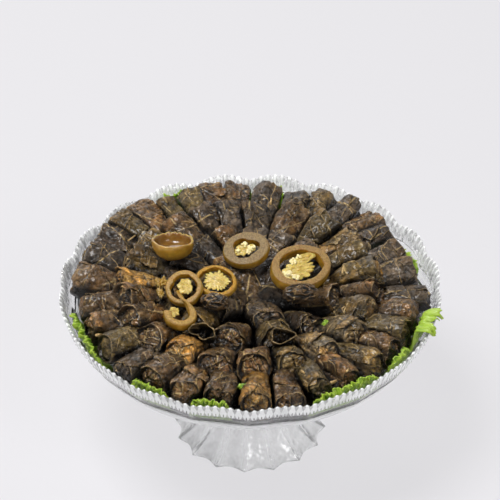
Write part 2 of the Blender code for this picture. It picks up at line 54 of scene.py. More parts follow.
RIM_HEIGHT = 133.6 * MM
NOTCH_RADIUS = 147.4 * MM
RIM_THICKNESS = 3.4 * MM
LOBES = 20
TEETH_PER_LOBE = 8
LOBE_RISE = 4.8 * MM
LOBE_BULGE = 2.0 * MM
TOOTH_RISE = 1.7 * MM
BOWL_INSIDE = (
    (138.4 * MM, 121.6 * MM),
    (128.2 * MM, 107.4 * MM),
    (109.0 * MM, 92.8 * MM),
    (86.5 * MM, 82.2 * MM),
    (57.0 * MM, 75.2 * MM),
    (0.0, 72.4 * MM),
)
ROLL_LENGTH = 55.0 * MM
ROLL_WIDTH = 25.0 * MM
ROLL_DEPTH = 23.0 * MM
SEED = 7
RINGS = (
    {"name": "outer", "radius": 134.5 * MM, "height": -1.0 * MM, "tilt": 12.0, "clocks": (
        -5, 7, 17, 28, 38, 47, 57, 67, 79, 91, 103, 114, 124, 134, 146, 156, 167,
        178, 190, 202, 215, 226, 238, 251, 264, 277, 289, 300, 309, 319, 328, 337, 346)},
    {"name": "second", "radius": 102.0 * MM, "height": 7.2 * MM, "tilt": 30.0, "clocks": (
        1, 22, 41, 54, 66, 81, 96, 109, 128, 146, 161, 178,
        195, 212, 229, 244, 259, 274, 289, 305, 322, 336, 349)},
    {"name": "third", "radius": 69.0 * MM, "height": 6.0 * MM, "tilt": 32.0, "clocks": (
        3, 24, 45, 65, 103, 134, 163, 195, 222, 255, 280, 300, 322, 342)},
    {"name": "inner", "radius": 39.0 * MM, "height": 5.0 * MM, "tilt": 30.0, "clocks": (
        45, 98, 158, 228, 275, 328)},
)
SIDE_YAW = 14.0
BACK_RISE = 2.4 * MM
SIDE_REACH = 5.0 * MM
BACK_REACH = 2.5 * MM
LEAF_CHANNEL = 6.4 * MM
LEAF_CHANNEL_AT_RIM = 11.0 * MM
FOOT_PETALS = 16
FOOT_PETAL_TURN = math.radians(4.4)
LEAF_CURL_HEIGHT = RIM_HEIGHT - 12.0 * MM
LEAF_FOOT_HEIGHT = 103.0 * MM
LEAVES = (
    {"name": "lettuce_left", "clocks": (235.0, 263.0), "frill": 2.0 * MM, "spills": False},
    {"name": "lettuce_front_left", "clocks": (205.0, 222.0), "frill": 2.0 * MM, "spills": False},
    {"name": "lettuce_front", "clocks": (185.0, 200.0), "frill": 3.5 * MM, "spills": False},
    {"name": "lettuce_front_right", "clocks": (134.0, 162.0), "frill": 3.5 * MM, "spills": False},
    {"name": "lettuce_right_front", "clocks": (118.5, 131.0), "frill": 3.0 * MM, "spills": False},
    {"name": "lettuce_right", "clocks": (102.5, 116.0), "frill": 6.0 * MM, "spills": True},
    {"name": "lettuce_back_right", "clocks": (60.0, 76.0), "frill": -6.0 * MM, "spills": False},
    {"name": "lettuce_back", "clocks": (-1.0, 14.0), "frill": -2.0 * MM, "spills": False},
    {"name": "lettuce_back_left", "clocks": (327.0, 341.0), "frill": 3.0 * MM, "spills": False},
)

# How a leaf's top passes over the rim: shares of its way, reach past the rim and height over it, in mm
SPILL_SHARES = (0.0, 0.33, 0.66, 1.0)
SPILL_REACH = (-14.0, -7.0, 1.5, 6.0)
SPILL_RISE = (7.0, 10.0, 11.4, 7.0)
SPILL_LIMIT = 147.4 * MM
PEPPER_LAY_HEIGHT = 10.0 * MM
RING_SLICES = (
    {"name": "pepper_slice_middle", "width": 37.0, "length": 31.5, "wall": 8.2, "thick": 7.4,
     "across": -3.0, "deep": 24.0, "lean": 17.0, "side_lean": -6.0, "turn": 10.0},
    {"name": "pepper_slice_large", "width": 50.0, "length": 41.0, "wall": 7.0, "thick": 9.5,
     "across": 38.5, "deep": 5.0, "lean": 12.0, "side_lean": 8.0, "turn": 32.0},
    {"name": "pepper_slice_small", "width": 33.0, "length": 29.0, "wall": 3.6, "thick": 5.0,
     "across": -26.0, "deep": -10.0, "lean": 16.0, "side_lean": 0.0, "turn": -25.0},
    {"name": "pepper_slice_left", "width": 29.0, "length": 30.5, "wall": 4.2, "thick": 6.0,
     "across": -50.5, "deep": -20.0, "lean": 24.0, "side_lean": -8.0, "turn": 20.0},
)

PEPPER_NODES = ("pepper_slice_middle", "pepper_slice_large", "pepper_slice_small", "pepper_slice_left",
                "pepper_end", "pepper_curl")

# What the photo shows of each roll, in the order of its ring. Leaf: b brown, o olive, g purple grey,
# k nearly black, t tan, r orange brown. End: c crumpled in a collar, s swirl of pleats, p parallel
# pleats, y ribs that meet, f folded flap, m smooth.
LEAF_OF = {
    "outer": "bggogbkggg" "bobobobrbb" "bgobbbkkob" "oob",
    "second": "gbotoobott" "obbrbbbroo" "bgg",
    "third": "gggkbkobo" "okkkb",
    "inner": "kkggob",
}
END_OF = {
    "outer": "fcmyfpfmpm" "mccppfffsy" "sffcmyfscs" "mfm",
    "second": "mscyfpcmfc" "fpsypcccpf" "mcf",
    "third": "mmfccccccf" "mmcf",
    "inner": "cccsmf",
}


# Colours, linear

LEAF_COLOURS = {
    "b": (0.108, 0.066, 0.027),
    "o": (0.104, 0.074, 0.023),
    "g": (0.080, 0.061, 0.042),
    "k": (0.036, 0.026, 0.017),
    "t": (0.165, 0.125, 0.062),
    "r": (0.300, 0.180, 0.047),
}


# Numbers that look random but are the same each time

def noise(points, seed):
    """Gradient noise at many points at once, about -1 to 1."""
    rng = np.random.RandomState(seed)
    order = np.tile(rng.permutation(256), 2)
    slopes = rng.normal(size=(256, 3))
    slopes /= np.linalg.norm(slopes, axis=1)[:, None]
    cell = np.floor(points).astype(int)
    part = points - cell
    ease = part ** 3 * (part * (part * 6.0 - 15.0) + 10.0)
    total = np.zeros(len(points))
    for corner in itertools.product((0, 1), repeat=3):
        at = (cell + np.array(corner)) & 255
        picked = order[order[order[at[:, 0]] + at[:, 1]] + at[:, 2]]
        rise = ((part - np.array(corner)) * slopes[picked]).sum(axis=1)
        weight = np.where(np.array(corner) == 1, ease, 1.0 - ease).prod(axis=1)
        total += rise * weight
    return total * 1.7


def smooth(low, high, value):
    share = np.clip((value - low) / (high - low), 0.0, 1.0)
    return share * share * (3.0 - 2.0 * share)


def crease(field, width):
    """1 along the lines where a noise field passes through nought, falling off over a width."""
    return np.exp(-(field / width) ** 2)


def clock_direction(clock):
    turn = math.radians(90.0 - clock)
    return np.array((math.cos(turn), math.sin(turn), 0.0))


def aimed(heading, rise):
    """The direction of a heading and a rise, both in radians."""
    return np.array((math.cos(heading) * math.cos(rise), math.sin(heading) * math.cos(rise), math.sin(rise)))


def bowl_inside_radius(height):
    profile = ((NOTCH_RADIUS - RIM_THICKNESS, RIM_HEIGHT),) + BOWL_INSIDE
    radii = [radius for radius, _ in reversed(profile)]
    heights = [rise for _, rise in reversed(profile)]
    return np.interp(height, heights, radii)


def leaf_channel(height):
    """How much room the lettuce takes up beside the bowl's wall."""
    share = np.clip((height - LEAF_CURL_HEIGHT) / (RIM_HEIGHT - LEAF_CURL_HEIGHT), 0.0, 1.0)
    return LEAF_CHANNEL + share * (LEAF_CHANNEL_AT_RIM - LEAF_CHANNEL)


# Making objects

def link(made):
    bpy.context.scene.collection.objects.link(made)
    return made


def object_of(name, bm, material, smooth_faces=True):
    mesh = bpy.data.meshes.new(name)
    bm.to_mesh(mesh)
    bm.free()
    mesh.materials.append(material)
    if smooth_faces:
        mesh.shade_smooth()
    return link(bpy.data.objects.new(name, mesh))


def applied(made):
    """Puts the result of an object's modifiers into its mesh."""
    depsgraph = bpy.context.evaluated_depsgraph_get()
    mesh = bpy.data.meshes.new_from_object(made.evaluated_get(depsgraph))
    made.modifiers.clear()
    made.data = mesh
    return made


def places_of(mesh):
    places = np.empty(3 * len(mesh.vertices))
    mesh.vertices.foreach_get("co", places)
    return places.reshape(-1, 3)


def put_places(mesh, places):
    mesh.vertices.foreach_set("co", places.astype(np.float32).ravel())
    mesh.update()


def opaque(colours):
    return np.concatenate((colours, np.ones((len(colours), 1))), axis=1)


def put_attribute(mesh, name, kind, values):
    layer = mesh.attributes.new(name, kind, 'POINT')
    field = {"FLOAT": "value", "FLOAT_VECTOR": "vector", "FLOAT_COLOR": "color"}[kind]
    layer.data.foreach_set(field, values.astype(np.float32).ravel())


# Node helpers

class Shader:
    """A short way to write a node tree."""

    def __init__(self, name):
        self.material = bpy.data.materials.new(name)
        self.material.use_nodes = True
        self.tree = self.material.node_tree
        self.surface = self.tree.nodes["Principled BSDF"]

    def node(self, kind, **settings):
        made = self.tree.nodes.new("ShaderNode" + kind)
        for name, value in settings.items():
            setattr(made, name, value)
        return made

    def feed(self, socket, value):
        if isinstance(value, bpy.types.NodeSocket):
            self.tree.links.new(value, socket)
        elif value is not None:
            socket.default_value = value

    def math(self, operation, a, b=None, c=None, clamp=False):
        made = self.node("Math", operation=operation, use_clamp=clamp)
        for socket, value in zip(made.inputs, (a, b, c)):
            self.feed(socket, value)
        return made.outputs[0]

    def remap(self, value, low, high, to_low=0.0, to_high=1.0):
        made = self.node("MapRange", interpolation_type='SMOOTHSTEP')
        for socket, given in zip(made.inputs, (value, low, high, to_low, to_high)):
            self.feed(socket, given)
        return made.outputs[0]

    def mix(self, factor, a, b, blend='MIX'):
        made = self.node("Mix", data_type='RGBA', blend_type=blend)
        self.feed(made.inputs["Factor"], factor)
        for socket, value in ((made.inputs[6], a), (made.inputs[7], b)):
            self.feed(socket, (*value, 1.0) if isinstance(value, tuple) and len(value) == 3 else value)
        return made.outputs[2]

    def attribute(self, name):
        return self.node("Attribute", attribute_name=name)

    def object_place(self, scale=(1.0, 1.0, 1.0), turn=(0.0, 0.0, 0.0)):
        given = self.node("TexCoord").outputs["Object"]
        mapping = self.node("Mapping")
        self.feed(mapping.inputs["Vector"], given)
        mapping.inputs["Scale"].default_value = scale
        mapping.inputs["Rotation"].default_value = turn
        return mapping.outputs[0]

    def scaled(self, vector, scale):
        mapping = self.node("Mapping")
        self.feed(mapping.inputs["Vector"], vector)
        mapping.inputs["Scale"].default_value = scale
        return mapping.outputs[0]

    def noise(self, vector, scale, detail=3.0, roughness=0.55, distortion=0.0):
        made = self.node("TexNoise")
        self.feed(made.inputs["Vector"], vector)
        made.inputs["Scale"].default_value = scale
        made.inputs["Detail"].default_value = detail
        made.inputs["Roughness"].default_value = roughness
        made.inputs["Distortion"].default_value = distortion
        return made.outputs["Fac"]

    def bump(self, height, strength, distance, normal=None):
        made = self.node("Bump")
        made.inputs["Strength"].default_value = strength
        made.inputs["Distance"].default_value = distance
        self.feed(made.inputs["Height"], height)
        self.feed(made.inputs["Normal"], normal)
        return made.outputs[0]

    def set(self, **values):
        for name, value in values.items():
            self.feed(self.surface.inputs[name.replace("_", " ")], value)


# Vine leaf

def leaf_shader():
    """Cooked vine leaf: mottled dark brown, pale ribs that fan out, fine veins, an oily film, painted shade
    in folds and hollows, and painted sheen.
    """
    s = Shader("cooked_vine_leaf")
    tint = s.attribute("tint").outputs["Color"]
    fold = s.attribute("fold").outputs["Fac"]
    leaf = s.attribute("leaf").outputs["Vector"]
    brink = s.attribute("brink").outputs["Fac"]
    place = s.object_place()

    parts = s.node("SeparateXYZ")
    s.feed(parts.inputs[0], leaf)
    along, across = parts.outputs[0], parts.outputs[1]
    wobble = s.math('MULTIPLY', s.math('SUBTRACT', s.noise(place, 90.0, 2.0), 0.5), 3.4)
    across = s.math('ADD', across, wobble)
    squares = s.math('ADD', s.math('MULTIPLY', along, along), s.math('MULTIPLY', across, across))
    reach = s.math('SQRT', squares)
    angle = s.math('ARCTAN2', across, along)
    fan = math.radians(44.0)
    off = s.math('PINGPONG', angle, 0.5 * fan)
    rib_side = s.math('MULTIPLY', reach, s.math('SINE', off))
    rib_along = s.math('MULTIPLY', reach, s.math('COSINE', off))
    thin = s.remap(reach, 0.0, 60.0, 0.78, 0.36)
    rib = s.remap(s.math('DIVIDE', rib_side, thin), 0.45, 1.25, 1.0, 0.0)
    whim = s.noise(place, 60.0, 1.0)
    rib = s.math('MULTIPLY', rib, s.remap(whim, 0.36, 0.52, 0.0, 1.0))
    branch = s.math('SUBTRACT', rib_along, s.math('MULTIPLY', rib_side, 1.1))
    branch = s.math('PINGPONG', branch, 1.9)
    vein = s.remap(branch, 0.08, 0.60, 1.0, 0.0)
    vein = s.math('MULTIPLY', vein, s.remap(s.noise(place, 75.0, 2.0), 0.40, 0.62))
    fine = s.math('PINGPONG', s.math('ADD', rib_along, s.math('MULTIPLY', rib_side, 0.5)), 0.5)
    fine = s.remap(fine, 0.0, 0.5)

    mottle = s.noise(place, 150.0, 6.0, 0.68)
    cloud = s.noise(place, 52.0, 3.0, 0.6, 0.6)
    grain = s.noise(place, 900.0, 2.0)
    wrinkle = s.noise(s.scaled(place, (1.0, 1.0, 1.35)), 230.0, 5.0, 0.62, 1.1)
    crinkle = s.math('ABSOLUTE', s.math('SUBTRACT', wrinkle, 0.5))
    crinkle = s.remap(crinkle, 0.0, 0.09)
    dark_tint = s.mix(1.0, tint, (0.25, 0.23, 0.22), 'MULTIPLY')
    light_tint = s.mix(1.0, tint, (2.25, 2.00, 1.66), 'MULTIPLY')
    colour = s.mix(s.remap(mottle, 0.32, 0.68), dark_tint, light_tint)
    rust = s.math('MULTIPLY', s.remap(cloud, 0.57, 0.70), 0.24)
    colour = s.mix(rust, colour, (0.165, 0.098, 0.032))
    # Painted sheen: greyish patches at random places stand in for the grey sheen on the oily leaf.
    frost = s.math('MULTIPLY', s.remap(s.noise(place, 70.0, 4.0, 0.7), 0.55, 0.72), 0.26)
    colour = s.mix(frost, colour, (0.125, 0.105, 0.100))
    colour = s.mix(s.math('MULTIPLY', vein, 0.30), colour, (0.24, 0.170, 0.085))
    colour = s.mix(s.math('MULTIPLY', rib, 0.85), colour, (0.56, 0.390, 0.165))
    # A pale line along each free leaf edge: the leaf's own paler edge, with a painted highlight where the
    # raised edge catches the light.
    line = s.remap(s.math('ABSOLUTE', s.math('SUBTRACT', brink, 0.28)), 0.12, 0.42, 1.0, 0.0)
    line = s.math('MULTIPLY', line, s.remap(s.noise(place, 110.0, 2.0), 0.34, 0.56, 0.15, 0.92))
    colour = s.mix(line, colour, (0.50, 0.330, 0.130))
    # Painted shadow: the leaf is darker just past each free leaf edge, below the step that the edge makes.
    under = s.remap(brink, -0.8, -0.05, 1.0, 0.50)
    under = s.math('MAXIMUM', under, s.remap(brink, -0.05, 0.15, 0.0, 1.0))
    # Painted shade: the per-vertex fold mask darkens creases, folds, gaps and the lower sides of rolls, and
    # the wrinkle lines are darkened as well.
    dark = s.math('MULTIPLY', s.remap(fold, 0.05, 0.80, 0.06, 1.0), under)
    dark = s.math('MULTIPLY', dark, s.remap(crinkle, 0.0, 1.0, 0.62, 1.0))
    # Painted shade: an occlusion node darkens the leaf's colour in hollows and in the gaps between the
    # rolls.
    hollow = s.node("AmbientOcclusion")
    hollow.samples = 6
    hollow.inputs["Distance"].default_value = 0.011
    open_air = s.math('POWER', s.remap(hollow.outputs["AO"], 0.10, 0.88, 0.02, 1.0), 1.3)
    dark = s.math('MULTIPLY', dark, open_air)
    shade = s.node("CombineColor")
    for socket in shade.inputs[:3]:
        s.feed(socket, dark)
    colour = s.mix(1.0, colour, shade.outputs[0], 'MULTIPLY')
    s.set(Base_Color=colour)

    gloss = s.remap(s.noise(place, 120.0, 3.0), 0.32, 0.68, 0.22, 0.44)
    s.set(Roughness=gloss, IOR=1.46, Coat_Weight=0.30, Coat_Roughness=0.14)
    ribbed = s.math('ADD', s.math('MULTIPLY', rib, 0.55), s.math('MULTIPLY', vein, 0.26))
    ribbed = s.math('ADD', ribbed, s.math('MULTIPLY', fine, 0.08))
    normal = s.bump(ribbed, 0.8, 0.0007)
    normal = s.bump(wrinkle, 0.9, 0.0013, normal)
    normal = s.bump(crinkle, 0.7, 0.0008, normal)
    normal = s.bump(grain, 0.25, 0.0003, normal)
    s.set(Normal=normal)
    return s.material


# Rolls

ROLL_COLUMNS = 80
ROLL_ROWS = 64
ROLLS_A_PIECE = 19

# Half of a roll's outline from the middle of its outer end, in mm for a roll 24 mm thick: the share of
# the rows, how far out along the roll, and the radius. One outline is domed, the other has a collar.
DOMED = ((0.0, 0.4, 0.0), (0.12, 0.2, 4.6), (0.24, -0.5, 8.9), (0.265, -1.2, 10.1), (0.29, -2.2, 10.9),
         (0.315, -3.3, 11.4), (0.335, -4.6, 11.8), (0.36, -7.0, 12.1))
COLLARED = ((0.0, -1.2, 0.0), (0.12, -1.4, 4.6), (0.24, -2.2, 8.6), (0.265, -3.4, 9.8), (0.29, -0.9, 10.7),
            (0.315, 0.4, 11.4), (0.335, -0.3, 12.1), (0.36, -3.4, 12.4))
FACE_SHARES = (0.225, 0.265)
LIP_SHARE = 0.316
MM_A_SHARE_AT_LIP = 50.0
NO_EDGE = 6.0
ROOM_AT_WALL = 0.8 * MM
RIM_ZONE = 8.0 * MM
ROOM_BETWEEN_ROLLS = 1.3 * MM
SOFT_CONTACT = 0.5 * MM
CONTACT_CLOCKS = 40.0
WARM = (1.12, 1.00, 0.82)
COOL = (0.88, 0.91, 0.98)


def roll_places():
    """Where each roll lies: ring, number, clock, outer end, tilt and yaw, length, width and depth."""
    rng = random.Random(SEED)
    rolls = []
    for ring in RINGS:
        for number, clock in enumerate(ring["clocks"]):
            side = math.sin(math.radians(clock))
            back = math.cos(math.radians(clock))
            size = rng.uniform(0.94, 1.05)
            length = ROLL_LENGTH * rng.uniform(0.92, 1.02)
            radius = ring["radius"] + rng.uniform(-1.5, 1.5) * MM
            height = ring["height"] + rng.uniform(-1.4, 1.4) * MM + BACK_RISE * back
            tilt = ring["tilt"] + rng.uniform(-4.0, 4.0)
            yaw = rng.uniform(-6.0, 6.0)
            if ring["name"] == "outer":
                radius += SIDE_REACH * side * side + BACK_REACH * back
            else:
                yaw -= SIDE_YAW * side
            rolls.append({"ring": ring["name"], "number": number, "clock": clock, "radius": radius,
                          "height": RIM_HEIGHT + height, "tilt": tilt, "yaw": yaw, "length": length,
                          "width": ROLL_WIDTH * size, "depth": ROLL_DEPTH * size})
    return rolls


def roll_axes(roll):
    """The outer end of a roll and its own directions: outwards along it, to its side, and up."""
    out = clock_direction(roll["clock"])
    end = out * roll["radius"] + np.array((0.0, 0.0, roll["height"]))
    heading = math.atan2(out[1], out[0]) + math.radians(roll["yaw"])
    tilt = math.radians(roll["tilt"])
    ahead = aimed(heading, tilt)
    side = np.array((-math.sin(heading), math.cos(heading), 0.0))
    return end, ahead, side, np.cross(ahead, side)


def many_of(bm, count):
    """A mesh of many copies of one shape, in order."""
    mesh = bpy.data.meshes.new("many")
    bm.to_mesh(mesh)
    bm.free()
    one = link(bpy.data.objects.new("many", mesh))
    many = one.modifiers.new("many", 'ARRAY')
    many.count = count
    many.use_relative_offset = False
    many.use_constant_offset = True
    many.constant_offset_displace = (10.0, 0.0, 0.0)
    applied(one)
    mesh = one.data
    bpy.data.objects.remove(one, do_unlink=True)
    return mesh


def balls(count):
    """Unit spheres with their poles along X."""
    bm = bmesh.new()
    bmesh.ops.create_uvsphere(bm, u_segments=ROLL_COLUMNS, v_segments=ROLL_ROWS, radius=1.0)
    bmesh.ops.rotate(bm, verts=bm.verts, matrix=Matrix.Rotation(0.5 * math.pi, 3, 'Y'))
    return many_of(bm, count)


def flat_grid(columns, rows):
    """A flat grid, X and Y from 0 to 1."""
    bm = bmesh.new()
    bmesh.ops.create_grid(bm, x_segments=columns, y_segments=rows, size=0.5)
    bmesh.ops.translate(bm, verts=bm.verts, vec=(0.5, 0.5, 0.0))
    return bm


def sheets(count, columns, rows):
    return many_of(flat_grid(columns, rows), count)


def overlap(distance, step, reach):
    """Height of a layer of leaf by the distance past its free edge: a step, then a slow sinking back."""
    return step * smooth(-0.30, 0.40, distance) * np.exp(-np.maximum(distance, 0.0) / reach)


def edge_lines(a, b, lines, seed):
    """Distances past some wobbly straight edges; a line is an angle and an offset."""
    wobble = noise(np.stack((a / 6.0, b / 6.0, np.full_like(a, seed)), axis=1), 15)
    fret = noise(np.stack((a / 2.2, b / 2.2, np.full_like(a, seed)), axis=1), 16)
    return [a * math.cos(angle) + b * math.sin(angle) - offset + 0.9 * wobble + 0.25 * fret
            for angle, offset in lines]


def shaded(tones, distance, rng):
    """Gives the leaf past an edge another tone: rusty or greyish, lighter or darker."""
    swing = rng.uniform(-1.0, 1.0)
    tone = np.array(WARM if swing > 0.0 else COOL) * rng.uniform(0.70, 1.45)
    return tones * (1.0 + (smooth(-0.2, 0.3, distance) * (0.4 + 0.6 * abs(swing)))[:, None] * (tone - 1.0))


def nearest(distances):
    """The signed distance with the least size at each point."""
    if not distances:
        return None
    stack = np.stack(distances)
    return np.take_along_axis(stack, np.abs(stack).argmin(axis=0)[None, :], axis=0)[0]


def end_relief(style, u, v, seed, rng):
    """Folds in a roll's end: height in mm, painted shade in its creases and under its flap edges, distance
    past an edge, and tones.
    """
    reach = np.hypot(u, v)
    points = np.stack((u, v, np.full_like(u, seed)), axis=1)
    broad = noise(points / 7.5 + 3.0, 12)
    sweep = rng.uniform(0.0, 2.0 * math.pi)
    lines = []
    steps = []
    sink = 3.0
    height = np.zeros_like(u)
    # lie holds painted shade: 1 where the end lies open, lower in its creases and just under each flap edge.
    lie = np.ones_like(u)
    tones = np.ones((len(u), 3))
    if style == "s":
        arms = rng.choice((3, 4))
        hand = rng.choice((-1.0, 1.0))
        for arm in range(arms):
            lines.append((sweep + hand * 2.0 * math.pi * arm / arms, rng.uniform(1.4, 2.8)))
            steps.append(rng.uniform(0.8, 1.2))
    elif style == "p":
        for offset in (-6.2, -2.4, 1.4, 5.2):
            lines.append((sweep + rng.uniform(-0.16, 0.16), offset + rng.uniform(-0.7, 0.7)))
            steps.append(rng.uniform(0.8, 1.3))
        sink = 2.4
    elif style == "y":
        for arm in range(3):
            way = sweep + 2.0 * math.pi * arm / 3.0
            side = np.abs(u * math.sin(way) - v * math.cos(way))
            side = side + 40.0 * (u * math.cos(way) + v * math.sin(way) < 0)
            height = height + 1.3 * np.exp(-(side / 0.9) ** 2)
        height = height - 0.10 * reach
        lines.append((sweep + 0.5, rng.uniform(3.0, 6.0)))
        steps.append(0.8)
    elif style == "f":
        lines += [(sweep, rng.uniform(-3.0, 1.0)), (sweep + rng.uniform(0.9, 1.8), rng.uniform(2.0, 5.0))]
        steps += [1.9, 0.9]
        sink = 7.0
    elif style == "c":
        for _ in range(4):
            lines.append((rng.uniform(0.0, 2.0 * math.pi), rng.uniform(-4.0, 5.0)))
            steps.append(rng.uniform(0.5, 1.1))
        height = 1.5 * broad
        lie = 1.0 - 0.7 * crease(broad + 0.12, 0.14)
    else:
        lines.append((sweep, rng.uniform(1.0, 6.0)))
        steps.append(0.6)
        height = 0.8 * broad
        lie = 1.0 - 0.25 * crease(broad, 0.12)
    distances = edge_lines(u, v, lines, seed)
    for distance, step in zip(distances, steps):
        height = height + overlap(distance, step, sink)
        lie = lie * (1.0 - 0.6 * np.exp(-((distance + 0.5) / 0.45) ** 2))
        tones = shaded(tones, distance, rng)
    ridges = noise(points / 4.2 + 9.0, 13)
    cut = crease(ridges, 0.10)
    height = height - 0.75 * cut + 0.55 * noise(points / 2.6, 14) + 0.5 * crease(ridges - 0.45, 0.15)
    return height, np.clip(lie - 0.6 * cut, 0.0, 1.0), nearest(distances), tones


def flatten(places, length, half_up, half_side, rng):
    """Presses flats into a rounded roll, as folded leaf has: each is a plane that cuts the roll a little."""
    for _ in range(6):
        turn = rng.uniform(-2.2, 2.2)
        slant = rng.uniform(-0.30, 0.30)
        tilted = math.cos(slant)
        normal = np.array((math.sin(slant), tilted * math.sin(turn), tilted * math.cos(turn)))
        middle = np.array((rng.uniform(-0.75, -0.15) * length, 0.0, 0.0))
        thick = math.hypot(half_side * math.sin(turn), half_up * math.cos(turn))
        over = (places - middle) @ normal - thick * rng.uniform(0.92, 1.02)
        give = 0.30
        places = places - normal * (give * np.logaddexp(0.0, np.clip(over / give, -30.0, 30.0)))[:, None]
    return places


def shape_roll(ball, roll, number):
    """One roll in its own axes, in mm, and its painted fold shade, leaf place, edge distance and colour at
    each point.
    """
    rng = random.Random(1000 + number)
    style = END_OF[roll["ring"]][roll["number"]]
    share = np.arccos(np.clip(ball[:, 0], -1.0, 1.0)) / math.pi
    around = np.arctan2(ball[:, 1], ball[:, 2])
    length = roll["length"] / MM
    tail = ((0.80, -30.0, 12.0), (0.93, 6.5 - length, 11.6), (0.955, 2.0 - length, 9.6),
            (0.98, 0.3 - length, 5.6), (1.0, -length, 0.0))
    shares = [row[0] for row in DOMED + tail]
    dome_x = np.interp(share, shares, [row[1] for row in DOMED + tail])
    dome_r = np.interp(share, shares, [row[2] for row in DOMED + tail])
    collar_x = np.interp(share, shares, [row[1] for row in COLLARED + tail])
    collar_r = np.interp(share, shares, [row[2] for row in COLLARED + tail])
    layer = np.full_like(around, 0.37 * number)
    circle = np.stack((np.cos(around) * 1.2, np.sin(around) * 1.2, layer), axis=1)
    want = {"c": 1.0, "s": 0.9, "p": 0.9, "y": 0.6, "f": 0.7, "m": 0.4}[style]
    lip = np.clip(want + 0.85 * noise(circle, 21), 0.0, 1.2)
    x = dome_x + lip * (collar_x - dome_x)
    r = dome_r + lip * (collar_r - dome_r)
    body = smooth(0.28, 0.38, share)
    on_face = 1.0 - smooth(*FACE_SHARES, share)

    square = rng.uniform(2.0, 2.5)
    half_side = 0.5 * roll["width"] / MM
    half_up = 0.5 * roll["depth"] / MM
    turned_by = around + rng.uniform(-0.5, 0.5)
    form = np.abs(np.cos(turned_by) / half_up) ** square + np.abs(np.sin(turned_by) / half_side) ** square
    form = form ** (-1.0 / square) / 12.0
    inward = np.clip(-x / length, 0.0, 1.0)
    taper = rng.uniform(0.88, 1.0)
    barrel = 1.0 + rng.uniform(0.02, 0.09) * np.sin(math.pi * inward) - 0.07 * inward
    barrel = barrel - (1.0 - taper) * smooth(0.35, 0.0, inward)
    r = r * form * barrel
    places = np.stack((x, r * np.sin(around), r * np.cos(around)), axis=1)
    places = flatten(places, length, half_up, half_side, rng) * np.array((1.0, 1.12, 1.10))
    x = places[:, 0]
    r = np.hypot(places[:, 1], places[:, 2])

    shift = np.array((rng.uniform(0.0, 90.0), rng.uniform(0.0, 90.0), rng.uniform(0.0, 90.0)))
    stretched = places * np.array((1.0 / 12.0, 1.0 / 6.0, 1.0 / 6.0))
    stretched[:, 0] += rng.uniform(-0.9, 0.9) * around
    folds = noise(stretched + shift, 32)
    wrinkles = noise(places / np.array((8.0, 3.6, 3.6)) + shift, 33)
    cut = crease(folds, 0.055)
    small_cut = crease(wrinkles, 0.10)
    lift = 0.8 * noise(places / 15.0 + shift, 31) - 1.0 * cut + 0.6 * crease(folds - 0.42, 0.14)
    lift += 0.35 * crease(wrinkles - 0.4, 0.16) - 0.45 * small_cut + 0.16 * noise(places / 2.4 + shift, 34)

    # Free edges of the leaves across the body: one along the roll, a cuff across it, and a slanting one
    a = -x
    b = around * 12.0
    lines = [(0.5 * math.pi * rng.choice((-1.0, 1.0)) + rng.uniform(-0.35, 0.35), rng.uniform(-9.0, 9.0))]
    steps = [rng.uniform(0.7, 1.1)]
    if rng.random() < 0.65:
        lines.append((rng.choice((0.0, math.pi)) + rng.uniform(-0.35, 0.35), 0.0))
        away = rng.uniform(7.0, 22.0)
        lines[-1] = (lines[-1][0], away if math.cos(lines[-1][0]) > 0 else -away)
        steps.append(rng.uniform(0.4, 0.8))
    if rng.random() < 0.75:
        slant = rng.uniform(0.5, 1.1) * rng.choice((-1.0, 1.0))
        lines.append((slant + math.pi * rng.choice((0.0, 1.0)), 0.0))
        middle = rng.uniform(8.0, 24.0)
        lines[-1] = (lines[-1][0], middle * math.cos(lines[-1][0]) + rng.uniform(-5.0, 5.0))
        steps.append(rng.uniform(0.4, 0.8))
    distances = edge_lines(a, b, lines, 2.1 * number)
    shades = np.ones((len(x), 3))
    # Painted shadow just under each free leaf edge on the body.
    crevice = np.zeros_like(x)
    for distance, step in zip(distances, steps):
        lift += overlap(distance, step, 9.0)
        crevice = np.maximum(crevice, np.exp(-((distance + 0.6) / 0.5) ** 2))
        shades = shaded(shades, distance, rng)
    body_brink = nearest(distances)

    turn = rng.uniform(0.0, 2.0 * math.pi)
    flat_u = places[:, 1] * math.cos(turn) - places[:, 2] * math.sin(turn) + 0.01
    flat_v = places[:, 1] * math.sin(turn) + places[:, 2] * math.cos(turn)
    face_height, face_lie, face_brink, tones = end_relief(style, flat_u, flat_v, 5.0 * number, rng)
    x = x + face_height * on_face * (0.8 + 0.3 * want)
    inner_end = 1.0 - 0.7 * smooth(0.90, 0.96, share)
    r = r + lift * (0.2 + 0.8 * body) * inner_end * (1.0 - on_face)
    droop = (x / length) ** 2
    y = r * np.sin(around) + rng.uniform(-2.2, 2.2) * droop
    z = r * np.cos(around) + rng.uniform(-1.6, 0.8) * droop

    # Painted shade, kept in the fold mask: darker in creases, wrinkles and under leaf edges, in the groove
    # behind the collar, on each roll's lower sides and in the creases of its end.
    groove = np.exp(-((share - 0.262) / 0.018) ** 2) * np.clip(lip, 0.0, 1.0)
    flank = smooth(0.58, 0.02, np.cos(around)) * smooth(-1.0, -4.0, places[:, 0])
    body_fold = (1.0 - 0.60 * cut - 0.42 * small_cut - 0.50 * crevice) * (1.0 - 0.88 * flank)
    fold = np.clip(body_fold + on_face * (face_lie - body_fold) - 0.9 * groove, 0.0, 1.0)
    lip_brink = (share - LIP_SHARE) * MM_A_SHARE_AT_LIP + 0.4 * noise(circle * 4.0, 22)
    lip_brink = np.where(lip > 0.3, lip_brink, NO_EDGE)
    brink = np.where(on_face > 0.5, face_brink, body_brink)
    near_lip = np.abs(lip_brink) < 2.5
    brink = np.where(near_lip, lip_brink, np.where(np.abs(share - LIP_SHARE) < 0.05, NO_EDGE, brink))
    brink = np.clip(brink, -NO_EDGE, NO_EDGE)

